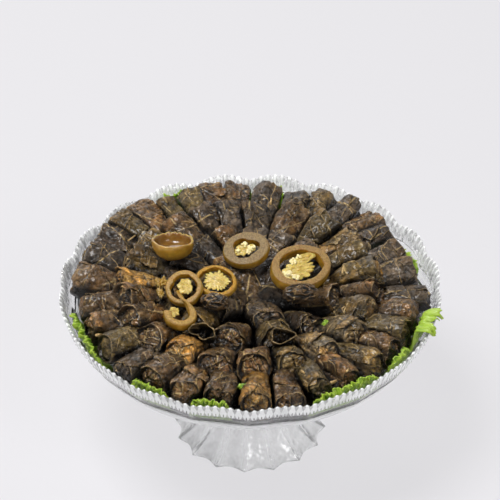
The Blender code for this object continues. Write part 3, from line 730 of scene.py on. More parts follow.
    root = np.array((rng.uniform(28.0, 60.0), rng.uniform(-14.0, 14.0)))
    aim = math.pi + rng.uniform(-0.6, 0.6)
    if rng.random() < 0.6:
        root = np.array((rng.uniform(2.0, 30.0), rng.choice((-26.0, 26.0))))
        aim = math.atan2(-root[1], rng.uniform(-12.0, 12.0))
    leaf_u = a - root[0]
    leaf_v = b - root[1]
    layer = np.full_like(x, 3.0 * number)
    leaf = np.stack((leaf_u * math.cos(aim) + leaf_v * math.sin(aim),
                     leaf_v * math.cos(aim) - leaf_u * math.sin(aim), layer), axis=1)
    away = 0.0 if style == "y" else rng.uniform(9.0, 15.0)
    face_leaf = np.stack((flat_u + away, flat_v + 0.2 * away, layer + 1.0), axis=1)
    leaf = np.where((on_face > 0.5)[:, None], face_leaf, leaf)

    colour = np.array(LEAF_COLOURS[LEAF_OF[roll["ring"]][roll["number"]]]) * rng.uniform(0.85, 1.2)
    face_colour = colour * (1.0 + rng.uniform(0.0, 1.0) * (np.array(WARM) - 1.0)) * rng.uniform(0.9, 1.5)
    tint = colour * shades
    tint = tint + on_face[:, None] * (face_colour * tones - tint)
    return {"places": np.stack((x, y, z), axis=1), "fold": fold, "leaf": leaf, "brink": brink,
            "tint": opaque(tint), "colour": colour, "roll": roll}


def press_apart(places, rolls, axes):
    """Flattens rolls of one ring where they meet the ones beside them."""
    count = len(rolls)
    for here in range(count):
        for beside in ((here - 1) % count, (here + 1) % count):
            gap = abs((rolls[here]["clock"] - rolls[beside]["clock"] + 180.0) % 360.0 - 180.0)
            if gap > CONTACT_CLOCKS:
                continue
            own = places[here]
            end_a, ahead_a = axes[here][:2]
            end_b, ahead_b = axes[beside][:2]
            back_a = np.clip((own - end_a) @ ahead_a, -rolls[here]["length"], 0.0)
            foot_a = end_a + back_a[:, None] * ahead_a
            back_b = np.clip((foot_a - end_b) @ ahead_b, -rolls[beside]["length"], 0.0)
            foot_b = end_b + back_b[:, None] * ahead_b
            apart = foot_b - foot_a
            distance = np.linalg.norm(apart, axis=1)
            way = apart / np.maximum(distance, 1e-6)[:, None]
            over = ((own - foot_a) * way).sum(axis=1) - 0.5 * distance + ROOM_BETWEEN_ROLLS
            push = SOFT_CONTACT * np.logaddexp(0.0, over / SOFT_CONTACT)
            places[here] = own - way * push[:, None]


def keep_off_wall(places, roll, leafy):
    """Slides an outer roll inwards until it clears the rim, then lets its lower end follow the bowl."""
    height = places[:, 2]
    channel = leaf_channel(height) if leafy else ROOM_AT_WALL
    near_rim = height > RIM_HEIGHT - RIM_ZONE
    over = np.hypot(places[:, 0], places[:, 1]) - bowl_inside_radius(height) + channel
    slide = max(0.0, over[near_rim].max()) if near_rim.any() else 0.0
    places = places - slide * clock_direction(roll["clock"])
    reach = np.hypot(places[:, 0], places[:, 1])
    over = np.maximum(0.0, reach - bowl_inside_radius(height) + channel)
    places[:, :2] *= ((reach - over) / reach)[:, None]
    return places


def is_leafy(clock):
    spans = [leaf["clocks"] for leaf in LEAVES]
    return any((clock - low + 3.0) % 360.0 <= (high - low + 6.0) % 360.0 for low, high in spans)


def lay_ring(ball, rolls, first_number):
    """The rolls of one ring, shaped, laid in place and pressed together."""
    axes = [roll_axes(roll) for roll in rolls]
    shaped = [shape_roll(ball, roll, first_number + number) for number, roll in enumerate(rolls)]
    places = []
    for form, (end, ahead, side, up) in zip(shaped, axes):
        local = form["places"] * MM
        places.append(end + local[:, :1] * ahead + local[:, 1:2] * side + local[:, 2:] * up)
    press_apart(places, rolls, axes)
    if rolls[0]["ring"] == "outer":
        places = [keep_off_wall(own, roll, is_leafy(roll["clock"])) for own, roll in zip(places, rolls)]
    for form, own in zip(shaped, places):
        form["places"] = own
    return shaped


def leaf_piece(name, mesh, forms, material):
    """One piece of the scene: several rolls or loose leaves in one mesh."""
    mesh.name = name
    put_places(mesh, np.concatenate([form["places"] for form in forms]))
    kinds = {"fold": 'FLOAT', "brink": 'FLOAT', "leaf": 'FLOAT_VECTOR', "tint": 'FLOAT_COLOR'}
    for key, kind in kinds.items():
        put_attribute(mesh, key, kind, np.concatenate([form[key] for form in forms]))
    mesh.materials.clear()
    mesh.materials.append(material)
    mesh.shade_smooth()
    return link(bpy.data.objects.new(name, mesh))


def shape_rolls(ball):
    """All rolls, ring by ring, laid in place."""
    shaped = []
    for ring in RINGS:
        members = [roll for roll in roll_places() if roll["ring"] == ring["name"]]
        shaped.append(lay_ring(ball, members, sum(len(done) for done in shaped)))
    return shaped


def make_rolls(shaped, material):
    made = []
    for ring, forms in zip(RINGS, shaped):
        parts = math.ceil(len(forms) / ROLLS_A_PIECE)
        size = math.ceil(len(forms) / parts)
        for part in range(parts):
            own = forms[part * size:(part + 1) * size]
            made.append(leaf_piece(f"rolls_{ring['name']}_{part + 1}", balls(len(own)), own, material))
    return made


# Loose edges and scraps of leaf

FLAP_COLUMNS = 24
FLAP_ROWS = 16
FLAP_SEED = 5
FLAP_ROOM = 1.2
FLAP_ROOM_AT_LETTUCE = 6.8
FLAP_THICKNESS = 0.45 * MM
LOOP_THICKNESS = 0.6 * MM
PEPPER_MARGIN = 1.0 * MM


def on_roll(tree, form, share, around):
    """Places on a roll's skin, by the share from its outer end and the angle round it."""
    wanted = np.stack((np.cos(math.pi * share), np.sin(math.pi * share) * np.sin(around),
                       np.sin(math.pi * share) * np.cos(around)), axis=1)
    places = np.empty_like(wanted)
    for number, spot in enumerate(wanted):
        found = tree.find_n(spot, 4)
        weights = np.array([1.0 / (0.01 + item[2]) for item in found])
        places[number] = weights @ form["places"][[item[1] for item in found]] / weights.sum()
    return places


def even_out(places, columns, rounds):
    """Smooths a grid of places whose rows hold columns + 1 points."""
    grid = places.reshape(-1, columns + 1, 3)
    for _ in range(rounds):
        grid[1:-1] = 0.5 * grid[1:-1] + 0.25 * (grid[:-2] + grid[2:])
        grid[:, 1:-1] = 0.5 * grid[:, 1:-1] + 0.25 * (grid[:, :-2] + grid[:, 2:])
    return grid.reshape(-1, 3)


def make_flap(tree, form, grid, number):
    """A loose edge of leaf on a roll: a hood over its outer end, or a tongue across its back."""
    rng = random.Random(700 + number)
    hood = rng.random() < 0.55
    free = grid[:, 1]
    along = grid[:, 0]
    middle = rng.uniform(-0.9, 0.9)
    points = np.stack((along * 3.0, free * 1.5, np.full_like(free, 3.7 * number)), axis=1)
    jag = 1.0 - (0.25 + 0.3 * rng.random()) * np.abs(2.0 * along - 1.0) ** 2
    jag = jag + 0.25 * noise(points * (1.6, 0.0, 1.0), 41)
    reach = free * np.clip(jag, 0.25, 1.2)
    if hood:
        width = rng.uniform(0.9, 1.9)
        around = middle + (along - 0.5) * width * (1.0 - 0.25 * free)
        share = 0.43 - reach * rng.uniform(0.15, 0.26)
        rise = rng.uniform(0.5, 1.6)
    else:
        way = rng.choice((-1.0, 1.0))
        start = rng.uniform(0.36, 0.48)
        around = middle - way * 0.4 + way * reach * rng.uniform(0.6, 1.1)
        share = start + along * rng.uniform(0.12, 0.26) + 0.03 * free
        rise = rng.uniform(0.6, 2.2)
    places = even_out(on_roll(tree, form, share, around), FLAP_COLUMNS, 3)
    end, ahead = roll_axes(form["roll"])[:2]
    hub = end - ahead * (9.0 if hood else 16.0) * MM
    outward = places - hub
    if not hood:
        outward -= (outward @ ahead)[:, None] * ahead
    outward /= np.linalg.norm(outward, axis=1)[:, None]
    lift = -0.3 + 1.0 * smooth(0.0, 0.25, free) + rise * free ** 2.5 * (1.0 + 0.7 * noise(points * 1.3, 42))
    lift += 0.35 * noise(points * 2.5, 43)
    places = places + outward * (lift * MM)[:, None]
    if form["roll"]["ring"] == "outer":
        span = np.hypot(places[:, 0], places[:, 1])
        room = FLAP_ROOM_AT_LETTUCE if is_leafy(form["roll"]["clock"]) else FLAP_ROOM
        limit = bowl_inside_radius(places[:, 2]) - room * MM
        places[:, :2] *= (np.minimum(span, limit) / span)[:, None]
    edge = np.minimum((1.0 - free) * 9.0, np.minimum(along, 1.0 - along) * 14.0) + 0.1
    tone = np.array(WARM if rng.random() < 0.6 else COOL) * rng.uniform(0.85, 1.6)
    tint = opaque(np.tile(form["colour"] * tone, (len(free), 1)))
    leaf = np.stack((free * 12.0 + rng.uniform(4.0, 18.0), (along - 0.5) * 18.0 + rng.uniform(-6.0, 6.0),
                     np.full_like(free, 5.0 * number)), axis=1)
    # Painted shade: the flap is darker towards the side where it lies on the roll.
    return {"places": places, "fold": 0.55 + 0.45 * free, "brink": np.minimum(edge, NO_EDGE), "leaf": leaf,
            "tint": tint}


def over_a_pepper(places):
    for node in PEPPER_NODES:
        low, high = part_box(node)
        inside = ((places[:, 0] > low.x - PEPPER_MARGIN) & (places[:, 0] < high.x + PEPPER_MARGIN)
                  & (places[:, 1] > low.y - PEPPER_MARGIN) & (places[:, 1] < high.y + PEPPER_MARGIN)
                  & (places[:, 2] > low.z - PEPPER_MARGIN))
        if inside.any():
            return True
    return False


def make_flaps(ball, shaped, material):
    tree = KDTree(len(ball))
    for number, spot in enumerate(ball):
        tree.insert(spot, number)
    tree.balance()
    grid = places_of(sheets(1, FLAP_COLUMNS, FLAP_ROWS))
    rng = random.Random(FLAP_SEED)
    forms = []
    number = 0
    for ring in shaped:
        for form in ring:
            for _ in range(rng.choice((1, 1, 2))):
                number += 1
                made = make_flap(tree, form, grid, number)
                if not over_a_pepper(made["places"]):
                    forms.append(made)
    flaps = leaf_piece("loose_leaf_edges", sheets(len(forms), FLAP_COLUMNS, FLAP_ROWS), forms, material)
    return thicken(flaps, FLAP_THICKNESS)


# Loops of leaf that stand open: the middle of the mouth, its two half sizes, how deep it goes, the way it
# faces as a heading and a rise in degrees, and its colour; sizes in mm
LOOPS = (
    {"at": (24.0, -73.0, 148.5), "half": (8.5, 5.6), "deep": 12.0, "heading": -80.0, "rise": 52.0,
     "leaf": "t"},
    {"at": (-36.2, -66.4, 147.5), "half": (8.6, 5.8), "deep": 12.0, "heading": -110.0, "rise": 55.0,
     "leaf": "o"},
)
LOOP_COLUMNS = 96
LOOP_ROWS = 20


def make_loops(material):
    """Sleeves of leaf whose mouth gapes beside a roll."""
    grid = places_of(sheets(1, LOOP_COLUMNS, LOOP_ROWS))
    along = grid[:, 0]
    free = grid[:, 1]
    forms = []
    for number, loop in enumerate(LOOPS):
        heading = math.radians(loop["heading"])
        rise = math.radians(loop["rise"])
        ahead = aimed(heading, rise)
        side = np.array((-math.sin(heading), math.cos(heading), 0.0))
        over = np.cross(ahead, side)
        turn = 2.0 * math.pi * 1.04 * along + 0.6
        around = np.stack((np.cos(turn), np.sin(turn), free * 0.8 + 6.0 * number), axis=1)
        wave = noise(around * 1.3, 44)
        corner = 0.10 * np.cos(3.0 * turn + 2.0 * number)
        size = (1.0 + 0.30 * wave + corner) * (0.85 + 0.15 * free ** 0.7) * (1.0 + 0.05 * along)
        across = loop["half"][0] * np.cos(turn) * size
        up = loop["half"][1] * np.sin(turn) * size
        ragged = 2.2 * noise(around * 0.9 + 5.0, 45) + 0.5 * noise(around * 4.0, 46)
        depth = (free - 1.0) * loop["deep"] + free * ragged
        places = np.array(loop["at"]) + depth[:, None] * ahead + across[:, None] * side
        places = (places + up[:, None] * over) * MM
        colour = np.array(LEAF_COLOURS[loop["leaf"]]) * 1.1
        tint = opaque(np.tile(colour, (len(free), 1)))
        leaf = np.stack((along * 50.0, free * 12.0 + 8.0, np.full_like(free, 50.0 + number)), axis=1)
        # Painted shade: the sleeve is darker deeper inside its mouth.
        forms.append({"places": places, "fold": free ** 1.5, "brink": (1.0 - free) * 12.0 + 0.1,
                      "leaf": leaf, "tint": tint})
    loops = leaf_piece("open_leaf_loops", sheets(len(forms), LOOP_COLUMNS, LOOP_ROWS), forms, material)
    return thicken(loops, LOOP_THICKNESS)


# Pale leaf stalks that stick out: place in mm, heading and rise in degrees, length and thickness in mm
STALKS = (
    (-115.0, -56.0, 215.0, 25.0, 6.0, 3.0),
    (61.6, -107.0, 20.0, 10.0, 7.0, 3.4),
    (72.5, -107.4, 250.0, 20.0, 5.0, 2.6),
    (39.2, -108.5, 300.0, 15.0, 5.0, 2.4),
    (-64.5, -13.0, 130.0, 20.0, 5.0, 2.6),
    (71.6, 15.9, 80.0, 25.0, 6.0, 3.0),
    (-46.0, 46.0, 100.0, 35.0, 5.0, 2.4),
    (-93.0, 62.0, 40.0, 15.0, 8.0, 1.8),
    (16.5, 104.0, 80.0, 40.0, 6.0, 3.0),
)


def stalk_shader():
    s = Shader("leaf_stalk")
    mottle = s.noise(s.object_place(), 500.0, 3.0, 0.6)
    colour = s.mix(s.remap(mottle, 0.3, 0.7), (0.40, 0.24, 0.085), (0.66, 0.47, 0.22))
    s.set(Base_Color=colour, Roughness=0.45, IOR=1.45, Normal=s.bump(mottle, 0.5, 0.0005))
    return s.material


def make_stalks(shaped):
    """Cut ends of stalks, pressed into the rolls they lie on."""
    skin = np.concatenate([form["places"] for ring in shaped for form in ring])
    bm = bmesh.new()
    for x, y, heading, rise, length, thickness in STALKS:
        near = np.hypot(skin[:, 0] - x * MM, skin[:, 1] - y * MM) < 1.8 * MM
        height = skin[near, 2].max() + 0.1 * thickness * MM
        made = bmesh.ops.create_cone(bm, cap_ends=True, segments=14, radius1=0.5 * thickness * MM,
                                     radius2=0.38 * thickness * MM, depth=length * MM)["verts"]
        bmesh.ops.scale(bm, verts=made, vec=(1.0, 0.6, 1.0))
        turn = Matrix.Rotation(math.radians(heading), 3, 'Z')
        turn = turn @ Matrix.Rotation(math.radians(90.0 - rise), 3, 'Y')
        bmesh.ops.rotate(bm, verts=made, matrix=turn)
        bmesh.ops.translate(bm, verts=made, vec=(x * MM, y * MM, height))
    edges = [edge for edge in bm.edges if edge.is_manifold and edge.calc_face_angle() > 0.8]
    bmesh.ops.bevel(bm, geom=edges, offset=0.25 * MM, segments=2, affect='EDGES')
    return object_of("leaf_stalk_ends", bm, stalk_shader())


def make_core(material):
    """What lies between and under the rolls: a turned mass in relief, like more rolls behind the glass."""
    bm = bmesh.new()
    profile = [(0.0, 116.0), (60.0, 116.0), (98.0, 114.5), (114.0, 111.0), (122.0, 107.0), (118.0, 101.6),
               (108.0, 93.8), (97.0, 88.4), (85.5, 83.4), (70.0, 79.6), (56.0, 76.6), (0.0, 73.6)]
    verts = [bm.verts.new((radius * MM, 0.0, height * MM)) for radius, height in profile]
    edges = [bm.edges.new(pair) for pair in zip(verts, verts[1:])]
    bmesh.ops.subdivide_edges(bm, edges=edges, cuts=5)
    bmesh.ops.spin(bm, geom=bm.verts[:] + bm.edges[:], cent=(0, 0, 0), axis=(0, 0, 1),
                   angle=2.0 * math.pi, steps=180, use_merge=True)
    bmesh.ops.remove_doubles(bm, verts=bm.verts, dist=0.02 * MM)
    bmesh.ops.recalc_face_normals(bm, faces=bm.faces)
    core = object_of("food_under_rolls", bm, material)
    places = places_of(core.data)
    reach = np.hypot(places[:, 0], places[:, 1])
    turn = np.arctan2(places[:, 1], places[:, 0])
    depth = places[:, 2] / (17.0 * MM)
    layer = np.floor(depth)
    count = np.where(layer >= 6, 34.0, np.where(layer >= 5, 28.0, 18.0))
    wave = np.abs(np.sin(0.5 * count * turn + 1.7 * layer))
    row = np.abs(np.sin(math.pi * depth))
    points = places / (6.0 * MM)
    # Painted shade: darker between the core's relief bumps.
    fold = np.clip(wave * 1.5, 0.0, 1.0) * np.clip(0.3 + row, 0.0, 1.0)
    inward = (1.0 - np.sqrt(np.clip(wave * row, 0.0, 1.0))) * 4.0 * MM + 0.8 * MM * (1.0 + noise(points, 51))
    low = smooth(0.02, 0.06, reach) * (places[:, 2] < 112.0 * MM)
    places[:, 0] -= np.cos(turn) * inward * low
    places[:, 1] -= np.sin(turn) * inward * low
    places[:, 2] += 0.35 * inward * low
    put_places(core.data, places)
    leaf = np.stack((places[:, 2] / MM * 1.3 - 120.0, turn * 90.0 % 37.0 - 18.0, layer), axis=1)
    # Painted shade: above 104 mm, where the core shows in the gaps between the rolls, it is tinted nearly
    # black; lower down, behind the glass, it keeps a dark leaf colour.
    shown = smooth(112.0, 104.0, places[:, 2] / MM)[:, None]
    tint = np.array((0.012, 0.009, 0.005, 1.0)) + shown * np.array((0.048, 0.037, 0.021, 0.0))
    put_attribute(core.data, "fold", 'FLOAT', 0.25 + 0.75 * fold)
    put_attribute(core.data, "brink", 'FLOAT', np.full(len(places), NO_EDGE))
    put_attribute(core.data, "leaf", 'FLOAT_VECTOR', leaf)
    put_attribute(core.data, "tint", 'FLOAT_COLOR', tint)
    return core


# Glass

PLATTER_COLUMNS = 640
TOOTH_COUNT = LOBES * TEETH_PER_LOBE
TOOTH_CUT = 0.3 * MM

# Radius and height in mm, from the middle of the foot's hollow, round the foot, up and over the rim,
# to the middle of the bowl. A corner that stays sharp has True.
PLATTER_PROFILE = (
    (0.0, 33.0, True), (13.0, 31.0, False), (34.0, 18.0, False), (56.4, 0.0, True), (60.0, 0.0, True),
    (60.0, 3.2, True), (51.5, 5.6, False), (37.5, 24.0, False), (26.5, 37.0, False), (18.0, 48.0, False),
    (17.5, 57.0, False), (28.0, 66.4, False), (60.0, 70.8, False), (90.0, 78.2, False),
    (112.8, 89.4, False), (132.0, 105.0, False), (139.6, 118.8, True), (141.4, 120.6, True),
    (147.4, 133.6, True), (144.0, 133.6, True), (138.4, 121.6, False), (128.2, 107.4, False),
    (109.0, 92.8, False), (86.5, 82.2, False), (57.0, 75.2, False), (0.0, 72.4, True),
)


def turned(name, profile, cuts, rounds, steps, material):
    """Turns a profile round Z. Each point keeps how far along the profile it lies, in 'path'."""
    bm = bmesh.new()
    path = bm.verts.layers.float.new("path")
    verts = [bm.verts.new((radius * MM, 0.0, height * MM)) for radius, height, _ in profile]
    for number, vert in enumerate(verts):
        vert[path] = float(number)
    edges = [bm.edges.new(pair) for pair in zip(verts, verts[1:])]
    fixed = {vert for vert, row in zip(verts, profile) if row[2]}
    bmesh.ops.subdivide_edges(bm, edges=edges, cuts=cuts)
    soft = [vert for vert in bm.verts if vert not in fixed]
    for _ in range(rounds):
        bmesh.ops.smooth_vert(bm, verts=soft, factor=0.5, use_axis_x=True, use_axis_z=True)
    made = object_of(name, bm, material)
    turn = made.modifiers.new("turned", 'SCREW')
    turn.steps = steps
    turn.render_steps = steps
    turn.use_merge_vertices = True
    turn.merge_threshold = 0.01 * MM
    applied(made)
    bm = bmesh.new()
    bm.from_mesh(made.data)
    bmesh.ops.remove_doubles(bm, verts=bm.verts, dist=0.01 * MM)
    bmesh.ops.recalc_face_normals(bm, faces=bm.faces)
    bm.to_mesh(made.data)
    bm.free()
    made.data.shade_smooth()
    return made


def path_of(mesh):
    values = np.empty(len(mesh.vertices))
    mesh.attributes["path"].data.foreach_get("value", values)
    return values


def glass_shader():
    """Clear pressed glass; its patterned band and lower bowl look whitish from a diffuse haze, a painted
    reflection of the bright surroundings laid out on the band as facets.
    """
    s = Shader("pressed_glass")
    haze = s.attribute("haze").outputs["Fac"]
    band = s.attribute("band").outputs["Fac"]
    place = s.object_place()
    parts = s.node("SeparateXYZ")
    s.feed(parts.inputs[0], place)
    turn = s.math('ARCTAN2', parts.outputs[1], parts.outputs[0])
    # Painted glints: on the band the haze is laid out as bright triangles with clearer dots, in place of lit
    # facets.
    tooth = s.math('PINGPONG', s.math('MULTIPLY', turn, TOOTH_COUNT / math.pi), 1.0)
    rim_share = s.math('ABSOLUTE', s.math('SUBTRACT', band, 0.55))
    facet = s.math('SUBTRACT', tooth, s.math('MULTIPLY', rim_share, 1.1))
    facet = s.remap(facet, -0.10, 0.20, 0.50, 1.0)
    across_dot = s.math('SUBTRACT', 1.0, tooth)
    up_dot = s.math('SUBTRACT', band, 0.30)
    spread = s.math('ADD', s.math('MULTIPLY', across_dot, across_dot), s.math('MULTIPLY', up_dot, up_dot))
    facet = s.math('MULTIPLY', facet, s.remap(spread, 0.008, 0.05, 0.15, 1.0))
    facet = s.math('MULTIPLY', facet, s.remap(s.noise(place, 45.0, 2.0), 0.38, 0.60, 0.70, 1.0))
    on_band = s.remap(band, -0.1, 0.0)
    facet = s.math('ADD', s.math('MULTIPLY', facet, on_band), s.math('SUBTRACT', 1.0, on_band))
    haze_there = s.math('MULTIPLY', haze, facet)
    s.set(Base_Color=(0.985, 0.99, 0.988, 1.0), IOR=1.47, Roughness=0.02)
    s.set(Transmission_Weight=s.remap(haze_there, 0.0, 1.0, 1.0, 0.10))
    wave = s.noise(place, 75.0, 2.0)
    ripple = s.noise(place, 260.0, 2.0)
    normal = s.bump(s.math('MULTIPLY', wave, s.remap(haze, 0.0, 0.3)), 0.8, 0.005)
    s.set(Normal=s.bump(s.math('MULTIPLY', ripple, s.remap(haze, 0.5, 0.7)), 0.35, 0.0012, normal))
    return s.material


def make_platter():
    platter = turned("pressed_glass_stand", PLATTER_PROFILE, 4, 8, PLATTER_COLUMNS, glass_shader())
    mesh = platter.data
    places = places_of(mesh)
    path = path_of(mesh)
    reach = np.hypot(places[:, 0], places[:, 1])
    turn = np.arctan2(places[:, 1], places[:, 0])
    column = 2.0 * math.pi / PLATTER_COLUMNS

    # The foot's petals start between two columns, so the foot is turned to bring them onto one
    petal_start = -0.5 * math.pi - FOOT_PETAL_TURN
    off_column = petal_start - column * round(petal_start / column)
    turn_there = turn + off_column * np.interp(path, (9.0, 10.0), (1.0, 0.0))
    petal = np.abs(np.sin(0.5 * FOOT_PETALS * (turn_there - petal_start)))
    depth = np.interp(path, (2, 3, 4, 5, 6, 7, 8, 9), (0.0, 4.6, 4.6, 4.6, 1.8, 1.8, 1.3, 0.0)) * MM
    reach = reach - depth * petal

    lobe = np.abs(np.sin(0.5 * LOBES * (turn - 0.5 * math.pi)))
    bulge = np.interp(path, (15, 16, 17, 18, 19, 20, 21), (0.0, 0.35, 0.4, 1.0, 1.0, 0.4, 0.0))
    rise = np.interp(path, (15, 16, 17, 18, 19, 20), (0.0, 0.6, 0.6, 1.0, 1.0, 0.0))
    reach = reach + LOBE_BULGE * lobe * bulge
    height = places[:, 2] + LOBE_RISE * lobe * rise

    phase = (turn - 0.5 * math.pi) / (2.0 * math.pi) * TOOTH_COUNT
    tip = 1.0 - np.abs(2.0 * (phase - np.floor(phase)) - 1.0)
    on_top = np.interp(path, (17.6, 18, 19, 19.4), (0.0, 1.0, 1.0, 0.0))
    height = height + (TOOTH_RISE * tip - TOOTH_CUT * (1.0 - tip)) * on_top
    flute = np.interp(path, (17.35, 17.6, 18, 19), (0.0, 1.0, 1.0, 0.0))
    reach = reach - 0.9 * MM * (1.0 - tip) * flute
    pyramid = np.clip(tip - np.abs(path - 17.2) / 0.22, 0.0, 1.0) * (path > 16.9) * (path < 17.6)
    reach = reach + 0.8 * MM * pyramid

    places = np.stack((reach * np.cos(turn_there), reach * np.sin(turn_there), height), axis=1)
    put_places(mesh, places)
    # Painted reflection: a diffuse white haze on the foot, the lower bowl and the patterned band, with extra
    # on the foot's petals, stands in for the glass's glints and inner reflections.
    haze = np.interp(path, (2.0, 3.0, 7.0, 11.0, 12.0, 15.4, 15.8, 17.0, 17.2, 19.0, 20.0),
                     (0.0, 0.35, 0.35, 0.4, 0.72, 0.72, 0.05, 0.05, 0.95, 0.95, 0.0))
    haze = haze + 0.30 * petal ** 3 * (path > 3.0) * (path < 9.0)
    put_attribute(mesh, "haze", 'FLOAT', haze)
    put_attribute(mesh, "band", 'FLOAT', np.interp(path, (16.9, 17.0, 18.0, 19.0), (-0.1, 0.0, 1.0, 1.1)))
    mesh.set_sharp_from_angle(angle=math.radians(28.0))
    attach(platter, "root")
    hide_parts("glass_platter")


# Lettuce

def lettuce_shader():
    s = Shader("lettuce_frill")
    place = s.object_place()
    up = s.attribute("up").outputs["Fac"]
    crest = s.attribute("crest").outputs["Fac"]
    mottle = s.noise(place, 260.0, 4.0, 0.6)
    colour = s.mix(up, (0.36, 0.44, 0.13), (0.175, 0.32, 0.022))
    colour = s.mix(s.remap(mottle, 0.35, 0.65, 0.0, 0.6), colour, (0.085, 0.22, 0.008))
    colour = s.mix(s.math('MULTIPLY', crest, 0.65), colour, (0.40, 0.54, 0.062))
    s.set(Base_Color=colour, Roughness=0.38, IOR=1.45, Coat_Weight=0.15)
    s.set(Subsurface_Weight=0.35, Subsurface_Radius=(0.003, 0.004, 0.001), Subsurface_Scale=1.0)
    s.set(Normal=s.bump(mottle, 0.5, 0.0006))
    return s.material


def thicken(sheet, thickness):
    """Gives a sheet its body, with smooth shading and closed edges."""
    body = sheet.modifiers.new("body", 'SOLIDIFY')
    body.thickness = thickness
    body.offset = 0.0
    body.use_even_offset = False
    applied(sheet)
    sheet.data.shade_smooth()
    return sheet


LETTUCE_THICKNESS = 0.5 * MM


def make_lettuce(material):
    for number, leaf in enumerate(LEAVES):
        low, high = leaf["clocks"]
        columns = int((high - low) * 9.0)
        rows = 44 if leaf["spills"] else 34
        sheet = object_of(leaf["name"] + "_frill", flat_grid(columns, rows), material)
        places = places_of(sheet.data)
        across = places[:, 0]
        up = places[:, 1]
        clock = low + 0.6 + across * (high - low - 1.2)
        shift = 31.0 * number
        grid = np.stack((clock / 2.1 + shift, up * 3.0, np.full_like(up, shift)), axis=1)
        wave = noise(grid, 61)
        small = noise(grid * np.array((2.9, 2.2, 1.0)) + 5.0, 62)
        tiny = noise(grid * np.array((7.0, 5.0, 1.0)) + 9.0, 63)
        jag = noise(np.stack((clock / 1.1 + shift, clock * 0.0 + 0.5, clock * 0.0), axis=1), 64)
        rounded = 1.0 - 0.5 * np.abs(2.0 * across - 1.0) ** 6
        top = RIM_HEIGHT + leaf["frill"] + 1.5 * MM * jag
        turn = np.radians(90.0 - clock)
        share = np.clip(up / 0.72, 0.0, 1.0) if leaf["spills"] else up
        height = LEAF_FOOT_HEIGHT + (top - LEAF_FOOT_HEIGHT) * share * rounded
        height = height + (1.3 * wave + 0.8 * small) * MM * share ** 3
        channel = leaf_channel(height)
        swing = 0.5 * channel - 1.1 * MM
        swing_share = np.clip((0.8 * wave + 0.8 * small + 0.35 * tiny) * (0.15 + 0.9 * share), -1.0, 1.0)
        reach = bowl_inside_radius(height) - 0.5 * channel + swing * swing_share
        if leaf["spills"]:
            over = np.clip((up - 0.72) / 0.28, 0.0, 1.0) * np.clip(0.70 + 0.7 * wave + 0.4 * jag, 0.25, 1.0)
            path_reach = NOTCH_RADIUS + np.interp(over, SPILL_SHARES, SPILL_REACH) * MM
            path_height = RIM_HEIGHT + np.interp(over, SPILL_SHARES, SPILL_RISE) * MM
            ruffle = (2.2 * wave + 2.0 * small + 0.9 * tiny) * MM
            path_height = path_height - 3.4 * MM * (1.0 - rounded) + ruffle
            limit = SPILL_LIMIT / np.abs(np.cos(turn))
            blend = smooth(0.0, 0.3, over)
            crumple = (2.4 * small + 1.4 * tiny) * MM
            reach = reach + (np.minimum(path_reach + crumple, limit) - reach) * blend
            height = height + (path_height - height) * blend
        put_places(sheet.data, np.stack((reach * np.cos(turn), reach * np.sin(turn), height), axis=1))
        put_attribute(sheet.data, "up", 'FLOAT', share)
        put_attribute(sheet.data, "crest", 'FLOAT', smooth(0.1, 0.8, small + 0.6 * tiny + share ** 6))
        thicken(sheet, LETTUCE_THICKNESS)
        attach(sheet, "root")
        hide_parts(leaf["name"])


# Pickled pepper

def pepper_shader():
    """Skin, cut flesh and the wet inner wall of a pickled pepper, by two masks."""
    s = Shader("pickled_pepper_flesh")
    place = s.object_place()
    cut = s.attribute("cut").outputs["Fac"]
    inner = s.attribute("inner").outputs["Fac"]
    tint = s.attribute("tint").outputs["Color"]
    grain = s.noise(place, 850.0, 3.0, 0.7)
    cloud = s.noise(place, 130.0, 3.0, 0.6)
    skin = s.mix(s.remap(cloud, 0.35, 0.68), (0.26, 0.140, 0.012), (0.40, 0.225, 0.028))
    flesh = s.mix(s.remap(grain, 0.32, 0.68), (0.185, 0.120, 0.040), (0.385, 0.275, 0.115))
    wet = s.mix(s.remap(cloud, 0.35, 0.68), (0.30, 0.140, 0.012), (0.46, 0.255, 0.026))
    colour = s.mix(cut, skin, flesh)
    colour = s.mix(inner, colour, wet)
    colour = s.mix(1.0, colour, tint, 'MULTIPLY')
    s.set(Base_Color=colour, IOR=1.45, Coat_Weight=s.remap(cut, 0.0, 1.0, 0.5, 0.04), Coat_Roughness=0.08)
    s.set(Roughness=s.remap(cut, 0.0, 1.0, 0.20, 0.58))
    s.set(Subsurface_Weight=0.35, Subsurface_Radius=(0.007, 0.0035, 0.0008), Subsurface_Scale=1.0)
    rough = s.math('MULTIPLY', grain, cut)
    normal = s.bump(rough, 0.7, 0.0006)
    s.set(Normal=s.bump(cloud, 0.25, 0.001, normal))
    return s.material


def pith_shader():
    """Pale fibrous seed core, yellower in its hollows."""
    s = Shader("pepper_pith")
    place = s.object_place()
    cloud = s.noise(place, 420.0, 4.0, 0.7)
    ridge = s.attribute("ridge").outputs["Fac"]
    fibre = s.noise(s.attribute("fibre").outputs["Vector"], 1.0, 3.0, 0.7)
    colour = s.mix(s.remap(cloud, 0.35, 0.65), (0.32, 0.200, 0.022), (0.56, 0.40, 0.080))
    colour = s.mix(s.remap(fibre, 0.40, 0.62, 0.0, 0.75), colour, (0.66, 0.51, 0.17))
    colour = s.mix(s.math('MULTIPLY', ridge, 0.65), colour, (0.72, 0.57, 0.17))
    s.set(Base_Color=colour, Roughness=0.34, Coat_Weight=0.35, Coat_Roughness=0.12, IOR=1.45)
    s.set(Subsurface_Weight=0.35, Subsurface_Radius=(0.004, 0.0025, 0.0008), Subsurface_Scale=1.0)
    normal = s.bump(fibre, 0.6, 0.0007)
    s.set(Normal=s.bump(cloud, 0.5, 0.0006, normal))
    return s.material


